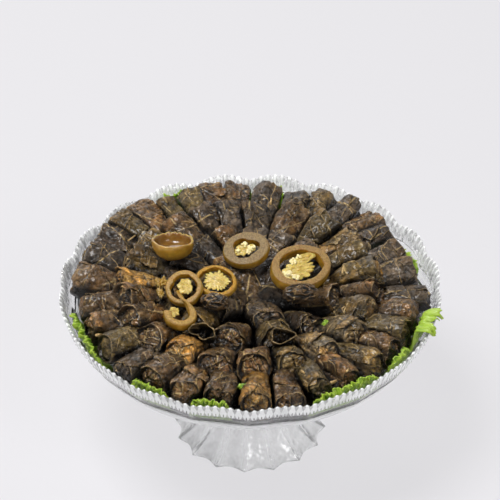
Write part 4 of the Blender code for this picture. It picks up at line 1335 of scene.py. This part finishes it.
def seed_shader():
    s = Shader("pepper_seed")
    s.set(Base_Color=(0.86, 0.73, 0.37, 1.0), Roughness=0.38, IOR=1.45, Coat_Weight=0.25)
    s.set(Subsurface_Weight=0.2, Subsurface_Radius=(0.002, 0.0015, 0.0006), Subsurface_Scale=1.0)
    return s.material


def lay_matrix(across, deep, lean, side_lean=0.0, turn=0.0):
    return (Matrix.Translation((across * MM, deep * MM, RIM_HEIGHT + PEPPER_LAY_HEIGHT))
            @ Matrix.Rotation(math.radians(lean), 4, 'X')
            @ Matrix.Rotation(math.radians(side_lean), 4, 'Y')
            @ Matrix.Rotation(math.radians(turn), 4, 'Z'))


def settle(pieces, matrix, node):
    """Lays the pieces of one slice down together, at the height where the solid rests."""
    for piece in pieces:
        piece.data.transform(matrix)
    lowest = places_of(pieces[0].data)[:, 2].min()
    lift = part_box(node)[0].z - lowest
    for piece in pieces:
        piece.data.transform(Matrix.Translation((0.0, 0.0, lift)))
        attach(piece, "root")
        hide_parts(node)


def put_tint(mesh, amount, tint):
    """Tints a mesh by one colour, as far as the amount at each of its vertices says."""
    colours = np.ones((len(amount), 4))
    colours[:, :3] += amount[:, None] * (np.array(tint) - 1.0)
    put_attribute(mesh, "tint", 'FLOAT_COLOR', colours)


def pepper_wall(name, cut, seed, material, tint):
    """An oval slice: outer skin, two cut faces and an uneven inner wall."""
    half = 0.5 * cut["thick"]
    outer = 0.5 * cut["width"]
    inner = outer - cut["wall"]
    edge = outer - 0.6
    profile = ((inner, -half, True), (inner - 0.3, 0.0, False), (inner, half, True),
               (inner + 0.7, half + 0.25, False), (edge - 0.8, half + 0.1, False),
               (edge, half - 0.5, False), (outer, 0.25 * half, False),
               (outer, -0.4 * half, False), (edge, -half, False), (inner, -half, True))
    wall = turned(name, profile, 4, 3, 132, material)
    mesh = wall.data
    places = places_of(mesh) / MM
    path = path_of(mesh)
    reach = np.hypot(places[:, 0], places[:, 1])
    turn = np.arctan2(places[:, 1], places[:, 0])
    around = np.stack((np.cos(turn) * 1.3, np.sin(turn) * 1.3, np.full_like(turn, 0.7 * seed)), axis=1)
    fine = np.stack((np.cos(turn) * 5.0, np.sin(turn) * 5.0, places[:, 2] / 4.0 + seed), axis=1)
    inner_share = np.clip((outer - reach) / cut["wall"], 0.0, 1.0)
    uneven = 0.9 * noise(around * 1.6, 71) + 0.5 * noise(fine, 72)
    clover = np.cos(3.0 * turn + seed)
    reach = reach + inner_share * (uneven - cut.get("clover", 0.8) * clover)
    reach = reach + (1.0 - inner_share) * 0.5 * noise(around, 73)
    height = places[:, 2] + 0.35 * noise(around * 1.4 + 4.0, 74) + 0.12 * noise(fine * 1.7, 75)
    oval = cut["length"] / cut["width"]
    places = np.stack((reach * np.cos(turn), reach * np.sin(turn) * oval, height), axis=1)
    put_places(mesh, places * MM)
    on_cut = np.interp(path, (1.7, 2.1, 4.3, 5.2, 7.6, 8.1, 9.0), (0.0, 1.0, 1.0, 0.0, 0.0, 1.0, 1.0))
    put_attribute(mesh, "cut", 'FLOAT', on_cut)
    put_attribute(mesh, "inner", 'FLOAT', np.interp(path, (0.0, 0.2, 1.6, 2.2), (0.0, 1.0, 1.0, 0.0)))
    put_tint(mesh, on_cut, tint)
    return wall


def pith(name, size, middle, fingers, material, seed, depth=0.22, grain=0.6):
    """A lumpy seed core with a fringe of fingers and fibres along it; size and middle in mm."""
    bm = bmesh.new()
    bmesh.ops.create_uvsphere(bm, u_segments=160, v_segments=40, radius=1.0)
    body = object_of(name, bm, material)
    places = places_of(body.data)
    reach = np.hypot(places[:, 0], places[:, 1])
    turn = np.arctan2(places[:, 1], places[:, 0])
    around = np.stack((np.cos(turn) * 2.0, np.sin(turn) * 2.0, np.full_like(turn, seed)), axis=1)
    fringe = np.abs(np.sin(0.5 * fingers * turn + 1.1 * noise(around, 81)))
    fringe = np.sqrt(fringe) * (0.55 + 0.45 * np.clip(0.5 + noise(around * 1.7, 82), 0.0, 1.2))
    wide = smooth(0.45, 1.0, reach)
    blob = 1.0 + 0.26 * noise(around * 0.55, 83)
    reach = reach * blob * (1.0 - depth + 1.6 * depth * fringe * wide)
    lumps = noise(places * np.array((1.6, 4.2, 2.0)) + seed, 84)
    small = noise(places * np.array((3.5, 9.0, 4.0)) + seed, 85)
    up = places[:, 2] * (0.80 + 0.42 * lumps + 0.20 * small) + 0.16 * fringe * wide
    places = np.stack((reach * np.cos(turn), reach * np.sin(turn), up), axis=1)
    put_places(body.data, (places * 0.5 * np.array(size) + np.array(middle)) * MM)
    put_attribute(body.data, "ridge", 'FLOAT', fringe * wide)
    put_attribute(body.data, "fibre", 'FLOAT_VECTOR', places * np.array((2.0, 14.0 * grain, 6.0)) + seed)
    return body


def seeds(name, spots, material, seed):
    """Flat round seeds in heaps. Each spot is x, y, z and spread in mm, and a count."""
    rng = random.Random(seed)
    bm = bmesh.new()
    for x, y, z, spread, count in spots:
        for _ in range(count):
            made = bmesh.ops.create_icosphere(bm, subdivisions=2, radius=1.0 * MM)["verts"]
            bmesh.ops.scale(bm, verts=made, vec=(rng.uniform(1.15, 1.6), rng.uniform(0.95, 1.25), 0.75))
            tip = Matrix.Rotation(rng.uniform(-0.9, 0.9), 3, 'X')
            tip = tip @ Matrix.Rotation(rng.uniform(0.0, 6.3), 3, 'Z')
            bmesh.ops.rotate(bm, verts=made, matrix=tip)
            away = spread * math.sqrt(rng.random())
            turn = rng.uniform(0.0, 2.0 * math.pi)
            place = (x + away * math.cos(turn), y + away * math.sin(turn), z + rng.uniform(-0.7, 0.9))
            bmesh.ops.translate(bm, verts=made, vec=Vector(place) * MM)
    return object_of(name, bm, material)


# How deep each hole's three bays are, in mm, and the colour of each cut face beside the common one
CLOVER = {
    "pepper_slice_middle": 1.3,
    "pepper_slice_large": 0.3,
    "pepper_slice_small": 0.2,
    "pepper_slice_left": 0.2,
}
CUT_TINT = {
    "pepper_slice_middle": (0.76, 0.74, 0.80),
    "pepper_slice_large": (0.94, 0.82, 0.68),
    "pepper_slice_small": (1.30, 1.00, 0.22),
    "pepper_slice_left": (1.12, 0.98, 0.66),
}


def make_peppers(flesh, pale):
    made = []
    cream = seed_shader()
    by_name = {cut["name"]: dict(cut) for cut in RING_SLICES}
    for number, cut in enumerate(by_name.values()):
        name = cut["name"]
        cut["clover"] = CLOVER[name]
        wall = pepper_wall(name + "_wall", cut, 3 + number, flesh, CUT_TINT[name])
        hole = (cut["width"] - 2.0 * cut["wall"], cut["length"] - 2.0 * cut["wall"])
        if name == "pepper_slice_middle":
            body = (0.80 * hole[0], 0.62 * hole[1], 4.0)
            spots = ((-6.0, 0.5, 2.4, 1.6, 7), (-0.5, 4.0, 2.6, 1.8, 9), (4.2, 0.0, 2.6, 2.6, 14),
                     (1.0, -3.6, 2.2, 1.4, 6))
            core = [pith("seed_core_middle", body, (-1.0, 0.5, 0.6), 5, pale, 11.0, 0.3),
                    seeds("seeds_middle", spots, cream, 21)]
        elif name == "pepper_slice_large":
            body = (hole[0] - 7.0, 0.52 * hole[1], 6.0)
            spots = ((-13.5, -1.6, 3.4, 3.2, 22), (-9.5, -7.2, 3.0, 2.6, 14), (-15.0, -5.0, 2.6, 1.8, 7),
                     (-3.0, 6.8, 3.2, 2.6, 14), (3.4, 8.2, 3.0, 2.0, 9))
            core = [pith("seed_core_large", body, (-5.4, -1.8, 0.9), 13, pale, 12.0),
                    pith("seed_bar_large", (20.0, 9.0, 5.0), (8.4, 6.4, 1.6), 3, pale, 15.0, 0.1),
                    seeds("seeds_large", spots, cream, 22)]
        elif name == "pepper_slice_left":
            body = (0.56 * hole[0], 0.66 * hole[1], 4.4)
            core = [pith("seed_core_left", body, (1.4, 1.2, -0.4), 6, pale, 13.0)]
        else:
            body = (0.80 * hole[0], 0.82 * hole[1], 4.0)
            core = [pith("seed_core_small", body, (0.8, 0.4, 0.2), 19, pale, 14.0)]
        place = lay_matrix(cut["across"], cut["deep"], cut["lean"], cut["side_lean"], cut["turn"])
        settle([wall] + core, place, name)
        made += [wall] + core
    return made


CAP_SIZE = (33.0, 33.0, 27.0)
CAP_SPOT = (-60.0, 28.5, -16.0)


def make_cap(material):
    """The end of a pepper, a rounded cup with a thick pale cut edge."""
    profile = []
    for degrees in (0.0, 20.0, 40.0, 60.0, 80.0, 95.0):
        radius = 0.5 * CAP_SIZE[0] * math.sin(math.radians(degrees))
        height = -0.5 * CAP_SIZE[2] * math.cos(math.radians(degrees))
        profile.append((radius, height, degrees == 0.0))
    profile += [(16.2, 2.8, False), (14.9, 3.2, False), (14.0, 2.2, False)]
    profile += [(12.6, -4.5, False), (0.0, -7.5, True)]
    cap = turned("pepper_end_cup", profile, 4, 3, 120, material)
    places = places_of(cap.data) / MM
    path = path_of(cap.data)
    turn = np.arctan2(places[:, 1], places[:, 0])
    around = np.stack((np.cos(turn) * 1.2, np.sin(turn) * 1.2, places[:, 2] / 16.0), axis=1)
    fine = np.stack((np.cos(turn) * 4.0, np.sin(turn) * 4.0, places[:, 2] / 5.0), axis=1)
    swell = 1.0 + 0.045 * noise(around, 91) + 0.012 * noise(fine, 92)
    at_rim = np.interp(path, (4.0, 6.0, 7.0, 9.0), (0.0, 1.0, 1.0, 0.0))
    places[:, :2] *= swell[:, None]
    ragged = at_rim * smooth(-0.2, 0.8, np.sin(turn + 0.5))
    places[:, 2] += at_rim * (0.6 * noise(around * 2.0, 93) + 0.3 * noise(fine, 94))
    places[:, 2] += ragged * 1.5 * noise(fine * 3.0, 97)
    put_places(cap.data, places * MM)
    far = smooth(-0.35, 0.35, np.sin(turn + 0.35))
    flesh_side = np.interp(path, (5.6, 6.1, 7.2, 7.6), (0.0, 1.0, 1.0, 0.0)) * far
    on_cut = np.interp(path, (5.6, 6.1, 7.2, 8.0), (0.0, 1.0, 1.0, 0.0)) * (0.25 + 0.75 * far)
    put_attribute(cap.data, "cut", 'FLOAT', on_cut)
    inside = np.interp(path, (7.0, 7.8), (0.0, 1.0))
    put_attribute(cap.data, "inner", 'FLOAT', 0.35 * inside)
    put_tint(cap.data, inside - flesh_side, (0.56, 0.50, 0.90))
    settle([cap], lay_matrix(*CAP_SPOT), "pepper_end")
    return [cap]


CURL_START = 170.0
CURL_SWEEP = 225.0
CURL_RADIUS = 9.8
CURL_TAIL_TIP = (-3.0, 18.0, 7.0)
CURL_HALF_HEIGHT = 4.4
CURL_HALF_THICKNESS = 3.2
CURL_SPOT = (-53.0, -50.0, 14.0, 6.0)
CURL_CORE_SIZE = (8.0, 10.0, 5.0)
CURL_CORE_SPOT = (-5.2, 2.6, 0.8)


def make_curl(material, pale):
    """A ring that was cut open: a band that curls round and trails off to a raised tip."""
    bm = bmesh.new()
    bmesh.ops.create_circle(bm, cap_ends=False, segments=28, radius=1.0)
    bmesh.ops.rotate(bm, verts=bm.verts, matrix=Matrix.Rotation(0.5 * math.pi, 3, 'X'))
    bmesh.ops.translate(bm, verts=bm.verts, vec=(10.0, 0.0, 0.0))
    bmesh.ops.spin(bm, geom=bm.verts[:] + bm.edges[:], cent=(0, 0, 0), axis=(0, 0, 1),
                   angle=0.5 * math.pi, steps=120)
    bmesh.ops.holes_fill(bm, edges=[edge for edge in bm.edges if edge.is_boundary])
    bmesh.ops.recalc_face_normals(bm, faces=bm.faces)
    curl = object_of("pepper_curl_band", bm, material)
    places = places_of(curl.data)
    share = np.clip(np.arctan2(places[:, 1], places[:, 0]) / (0.5 * math.pi), 0.0, 1.0)
    thick = np.hypot(places[:, 0], places[:, 1]) - 10.0
    up = places[:, 2]
    square = (np.abs(thick) ** 3 + np.abs(up) ** 3) ** (-1.0 / 3.0)
    thick = thick * square
    up = up * square

    # The middle line: an arc, then a straight tail, with the corner between them rounded off
    steps = np.linspace(0.0, 1.0, 241)
    arc_length = CURL_RADIUS * math.radians(CURL_SWEEP)
    last = math.radians(CURL_START + CURL_SWEEP)
    arc_end = np.array((CURL_RADIUS * math.cos(last), CURL_RADIUS * math.sin(last), 0.0))
    tail = np.array(CURL_TAIL_TIP) - arc_end
    arc_share = arc_length / (arc_length + np.linalg.norm(tail))
    turn = np.radians(CURL_START + CURL_SWEEP * np.clip(steps / arc_share, 0.0, 1.0))
    line = np.stack((CURL_RADIUS * np.cos(turn), CURL_RADIUS * np.sin(turn), 0.0 * turn), axis=1)
    line += np.clip((steps - arc_share) / (1.0 - arc_share), 0.0, 1.0)[:, None] * tail
    for _ in range(120):
        line[1:-1] = 0.25 * line[:-2] + 0.5 * line[1:-1] + 0.25 * line[2:]
    middle = np.stack([np.interp(share, steps, line[:, axis]) for axis in range(3)], axis=1)
    ahead = np.gradient(line, axis=0)
    ahead = np.stack([np.interp(share, steps, ahead[:, axis]) for axis in range(3)], axis=1)
    outward = np.stack((ahead[:, 1], -ahead[:, 0], 0.0 * share), axis=1)
    outward /= np.linalg.norm(outward, axis=1)[:, None]
    points = np.stack((share * 7.0, up, thick), axis=1)
    taper = 1.0 - 0.62 * smooth(0.80, 1.0, share) - 0.15 * smooth(0.06, 0.0, share)
    twist = 1.1 * smooth(0.72, 1.0, share)
    wide = up * CURL_HALF_HEIGHT * taper * (1.0 + 0.1 * noise(points * 0.6, 96))
    slim = 1.0 - 0.62 * smooth(0.60, 0.80, share) - 0.12 * smooth(0.8, 1.0, share)
    deep = thick * CURL_HALF_THICKNESS * slim + 0.3 * noise(points, 95)
    places = middle + outward * (deep * np.cos(twist) - wide * np.sin(twist))[:, None]
    places[:, 2] += wide * np.cos(twist) + deep * np.sin(twist)
    put_places(curl.data, places * MM)
    put_attribute(curl.data, "cut", 'FLOAT', smooth(0.62, 0.98, np.abs(up)))
    inside = 0.6 * smooth(0.1, -0.6, thick) * smooth(0.95, 0.6, np.abs(up))
    put_attribute(curl.data, "inner", 'FLOAT', inside)
    put_tint(curl.data, smooth(0.62, 0.98, np.abs(up)), (1.15, 1.0, 0.62))
    core = pith("seed_core_curl", CURL_CORE_SIZE, CURL_CORE_SPOT, 7, pale, 16.0)
    settle([curl, core], lay_matrix(*CURL_SPOT), "pepper_curl")
    return [curl, core]


# Rolls give way to the pepper and scraps that lie on them: the room they keep, how deep a thing can
# sink in, and how far and how often the faces that still cross it sink further
PRESS_ROOM = 0.3 * MM
PRESS_REACH = 4.0 * MM
PRESS_STEP = 0.4 * MM
PRESS_ROUNDS = 60


def tree_of(mesh):
    bm = bmesh.new()
    bm.from_mesh(mesh)
    tree = BVHTree.FromBMesh(bm)
    bm.free()
    return tree


def press_clear(soft, firm):
    """Presses a soft piece out of a firm one: the shortest way first, then downwards while faces cross."""
    places = places_of(soft.data)
    outline = places_of(firm.data)
    above = places > outline.min(axis=0) - PRESS_REACH
    below = places < outline.max(axis=0) + PRESS_REACH
    near = (above & below).all(axis=1)
    if not near.any():
        return
    tree = tree_of(firm.data)
    for index in np.flatnonzero(near):
        spot = Vector(places[index])
        hit, normal, _, distance = tree.find_nearest(spot, PRESS_REACH)
        if hit is not None and ((spot - hit).dot(normal) < 0.0 or distance < PRESS_ROOM):
            places[index] = hit + PRESS_ROOM * normal
    soft.data.calc_loop_triangles()
    corners = np.empty(3 * len(soft.data.loop_triangles), dtype=np.int32)
    soft.data.loop_triangles.foreach_get("vertices", corners)
    corners = corners.reshape(-1, 3)
    used, corners = np.unique(corners[near[corners].any(axis=1)], return_inverse=True)
    corners = corners.reshape(-1, 3)
    for _ in range(PRESS_ROUNDS):
        skin = BVHTree.FromPolygons(places[used].tolist(), corners.tolist())
        crossing = [pair[0] for pair in skin.overlap(tree)]
        if not crossing:
            break
        places[used[np.unique(corners[crossing])], 2] -= PRESS_STEP
    put_places(soft.data, places)


# Two crumpled leaves before the slices, then torn bits of pepper and lettuce among the rolls: place,
# then width, depth and height, in mm, and turn in degrees
SCRAPS = (
    ("crumpled_leaf_at_large_slice", "vine_leaf", (38.5, -25.4, 151.6), (28.0, 13.0, 17.0), 4.0),
    ("crumpled_leaf_at_small_slice", "vine_leaf", (-26.5, -33.5, 150.0), (23.0, 12.0, 14.0), -5.0),
    ("pale_pepper_scrap", "pickled_pepper", (-68.4, -21.2, 148.6), (4.5, 10.0, 3.4), 15.0),
    ("golden_pepper_scrap", "pickled_pepper", (-68.0, -8.2, 149.0), (8.0, 9.0, 4.4), -30.0),
    ("lettuce_scrap_in_front", "lettuce_leaf", (-5.6, -114.5, 132.5), (7.0, 4.5, 4.0), 10.0),
    ("lettuce_scrap_at_right", "lettuce_leaf", (57.5, -43.0, 136.5), (6.0, 5.0, 4.0), 40.0),
)


def make_scraps(materials):
    made = []
    for number, (name, slot, spot, size, turn) in enumerate(SCRAPS):
        bm = bmesh.new()
        bmesh.ops.create_icosphere(bm, subdivisions=6 if slot == "vine_leaf" else 5, radius=0.5)
        scrap = object_of(name, bm, materials[slot])
        places = places_of(scrap.data)
        seed = 9.0 * number
        if slot == "vine_leaf":
            pleat = 1.0 - 2.0 * np.abs(noise(places * np.array((3.0, 4.6, 4.6)) + seed, 101))
            folds = pleat + 0.5 * np.abs(noise(places * 9.0 + seed, 103))
            places = places * (0.86 + 0.14 * folds)[:, None] * np.array(size)
            places[:, 2] += 0.8 * noise(places / 4.0 + seed, 102)
        else:
            folds = noise(places * 5.0 + seed, 101)
            places = places * (0.9 + 0.7 * folds)[:, None] * np.array(size)
            places[:, 2] += 1.6 * noise(places / 2.6 + seed, 102)
        put_places(scrap.data, places * MM)
        place = Matrix.Translation(Vector(spot) * MM)
        scrap.data.transform(place @ Matrix.Rotation(math.radians(turn), 4, 'Z'))
        raised = smooth(-0.2, 0.4, folds)
        if slot == "pickled_pepper":
            put_attribute(scrap.data, "cut", 'FLOAT', 0.7 * raised)
            put_attribute(scrap.data, "inner", 'FLOAT', 0.3 * raised)
            put_tint(scrap.data, raised, (1.2, 1.2, 0.9))
        elif slot == "vine_leaf":
            everywhere = np.ones(len(places))
            put_tint(scrap.data, everywhere, LEAF_COLOURS["b"])
            # Painted shade: darker in the hollows between the pleats.
            put_attribute(scrap.data, "fold", 'FLOAT', smooth(0.2, 0.95, folds))
            put_attribute(scrap.data, "leaf", 'FLOAT_VECTOR', places + 20.0)
            put_attribute(scrap.data, "brink", 'FLOAT', NO_EDGE * everywhere)
        else:
            put_attribute(scrap.data, "up", 'FLOAT', 1.0 + 0.0 * folds)
            put_attribute(scrap.data, "crest", 'FLOAT', raised)
        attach(scrap, "root")
        if slot != "vine_leaf":
            made.append(scrap)
    return made


# Stage

LAMPS = (
    ("key", (-0.6, -0.35, 2.1), 0.8, 48.0),
    ("back_left", (-0.5, 1.9, 1.4), 1.0, 14.0),
    ("front_right", (1.1, -1.5, 1.7), 0.6, 14.0),
)


def make_stage():
    """A white table that glows a little, as on a light table, with three soft lamps."""
    bm = bmesh.new()
    bmesh.ops.create_grid(bm, x_segments=1, y_segments=1, size=6.0)
    s = Shader("pale_table")
    s.set(Base_Color=(0.12, 0.117, 0.124, 1.0), Roughness=0.7)
    s.set(Emission_Color=(0.985, 0.975, 1.0, 1.0), Emission_Strength=0.655)
    floor = object_of("floor", bm, s.material)

    world = bpy.data.worlds.new("studio")
    bpy.context.scene.world = world
    world.use_nodes = True
    sky = world.node_tree.nodes["Background"]
    sky.inputs["Color"].default_value = (0.98, 0.985, 1.0, 1.0)
    nodes = world.node_tree.nodes
    links = world.node_tree.links
    way = nodes.new("ShaderNodeTexCoord")
    split = nodes.new("ShaderNodeSeparateXYZ")
    fade = nodes.new("ShaderNodeMapRange")
    links.new(way.outputs["Generated"], split.inputs[0])
    links.new(split.outputs["Z"], fade.inputs["Value"])
    fade.inputs["From Min"].default_value = 0.05
    fade.inputs["From Max"].default_value = 0.40
    fade.inputs["To Min"].default_value = 0.95
    fade.inputs["To Max"].default_value = 0.10
    links.new(fade.outputs["Result"], sky.inputs["Strength"])

    for name, place, size, power in LAMPS:
        lamp = bpy.data.lights.new(name, 'AREA')
        lamp.energy = power
        lamp.size = size
        made = link(bpy.data.objects.new(name, lamp))
        made.location = place
        made.rotation_mode = 'QUATERNION'
        aim = Vector((0.0, 0.0, 0.12)) - Vector(place)
        made.rotation_quaternion = aim.to_track_quat('-Z', 'Y')

    scene = bpy.context.scene
    scene.view_settings.view_transform = 'Standard'
    scene.view_settings.look = 'None'


CAMERA_ELEVATION = 37.9
CAMERA_DISTANCE = 2.646
FOCAL_PIXELS = 3430.8
CENTRE_PIXEL = (250.2, 291.4)
FRAME_PIXELS = 500.0


def make_camera():
    lens = bpy.data.cameras.new("camera")
    camera = link(bpy.data.objects.new("camera", lens))
    rise = math.radians(CAMERA_ELEVATION)
    back = Vector((0.0, -math.cos(rise), math.sin(rise)))
    camera.location = Vector((0.0, 0.0, RIM_HEIGHT)) + CAMERA_DISTANCE * back
    camera.rotation_mode = 'QUATERNION'
    camera.rotation_quaternion = (-back).to_track_quat('-Z', 'Y')
    lens.sensor_width = 36.0
    lens.lens = FOCAL_PIXELS / FRAME_PIXELS * lens.sensor_width
    lens.shift_x = (0.5 * FRAME_PIXELS - CENTRE_PIXEL[0]) / FRAME_PIXELS
    lens.shift_y = (CENTRE_PIXEL[1] - 0.5 * FRAME_PIXELS) / FRAME_PIXELS
    lens.clip_start = 0.1
    lens.clip_end = 20.0
    bpy.context.scene.camera = camera


def main():
    make_camera()
    make_stage()
    leaf = leaf_shader()
    ball = places_of(balls(1))
    shaped = shape_rolls(ball)
    rolls = make_rolls(shaped, leaf)
    heap = rolls + [make_core(leaf), make_flaps(ball, shaped, leaf), make_loops(leaf)]
    for piece in heap:
        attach(piece, "root")
        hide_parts("roll_heap")
    stalks = make_stalks(shaped)
    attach(stalks, "root")
    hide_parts("roll_heap")
    make_platter()
    green = lettuce_shader()
    make_lettuce(green)
    flesh = pepper_shader()
    pale = pith_shader()
    peppers = make_peppers(flesh, pale) + make_cap(flesh) + make_curl(flesh, pale)
    scraps = make_scraps({"vine_leaf": leaf, "lettuce_leaf": green, "pickled_pepper": flesh})
    for roll, topping in itertools.product(rolls, peppers + scraps):
        press_clear(roll, topping)


main()
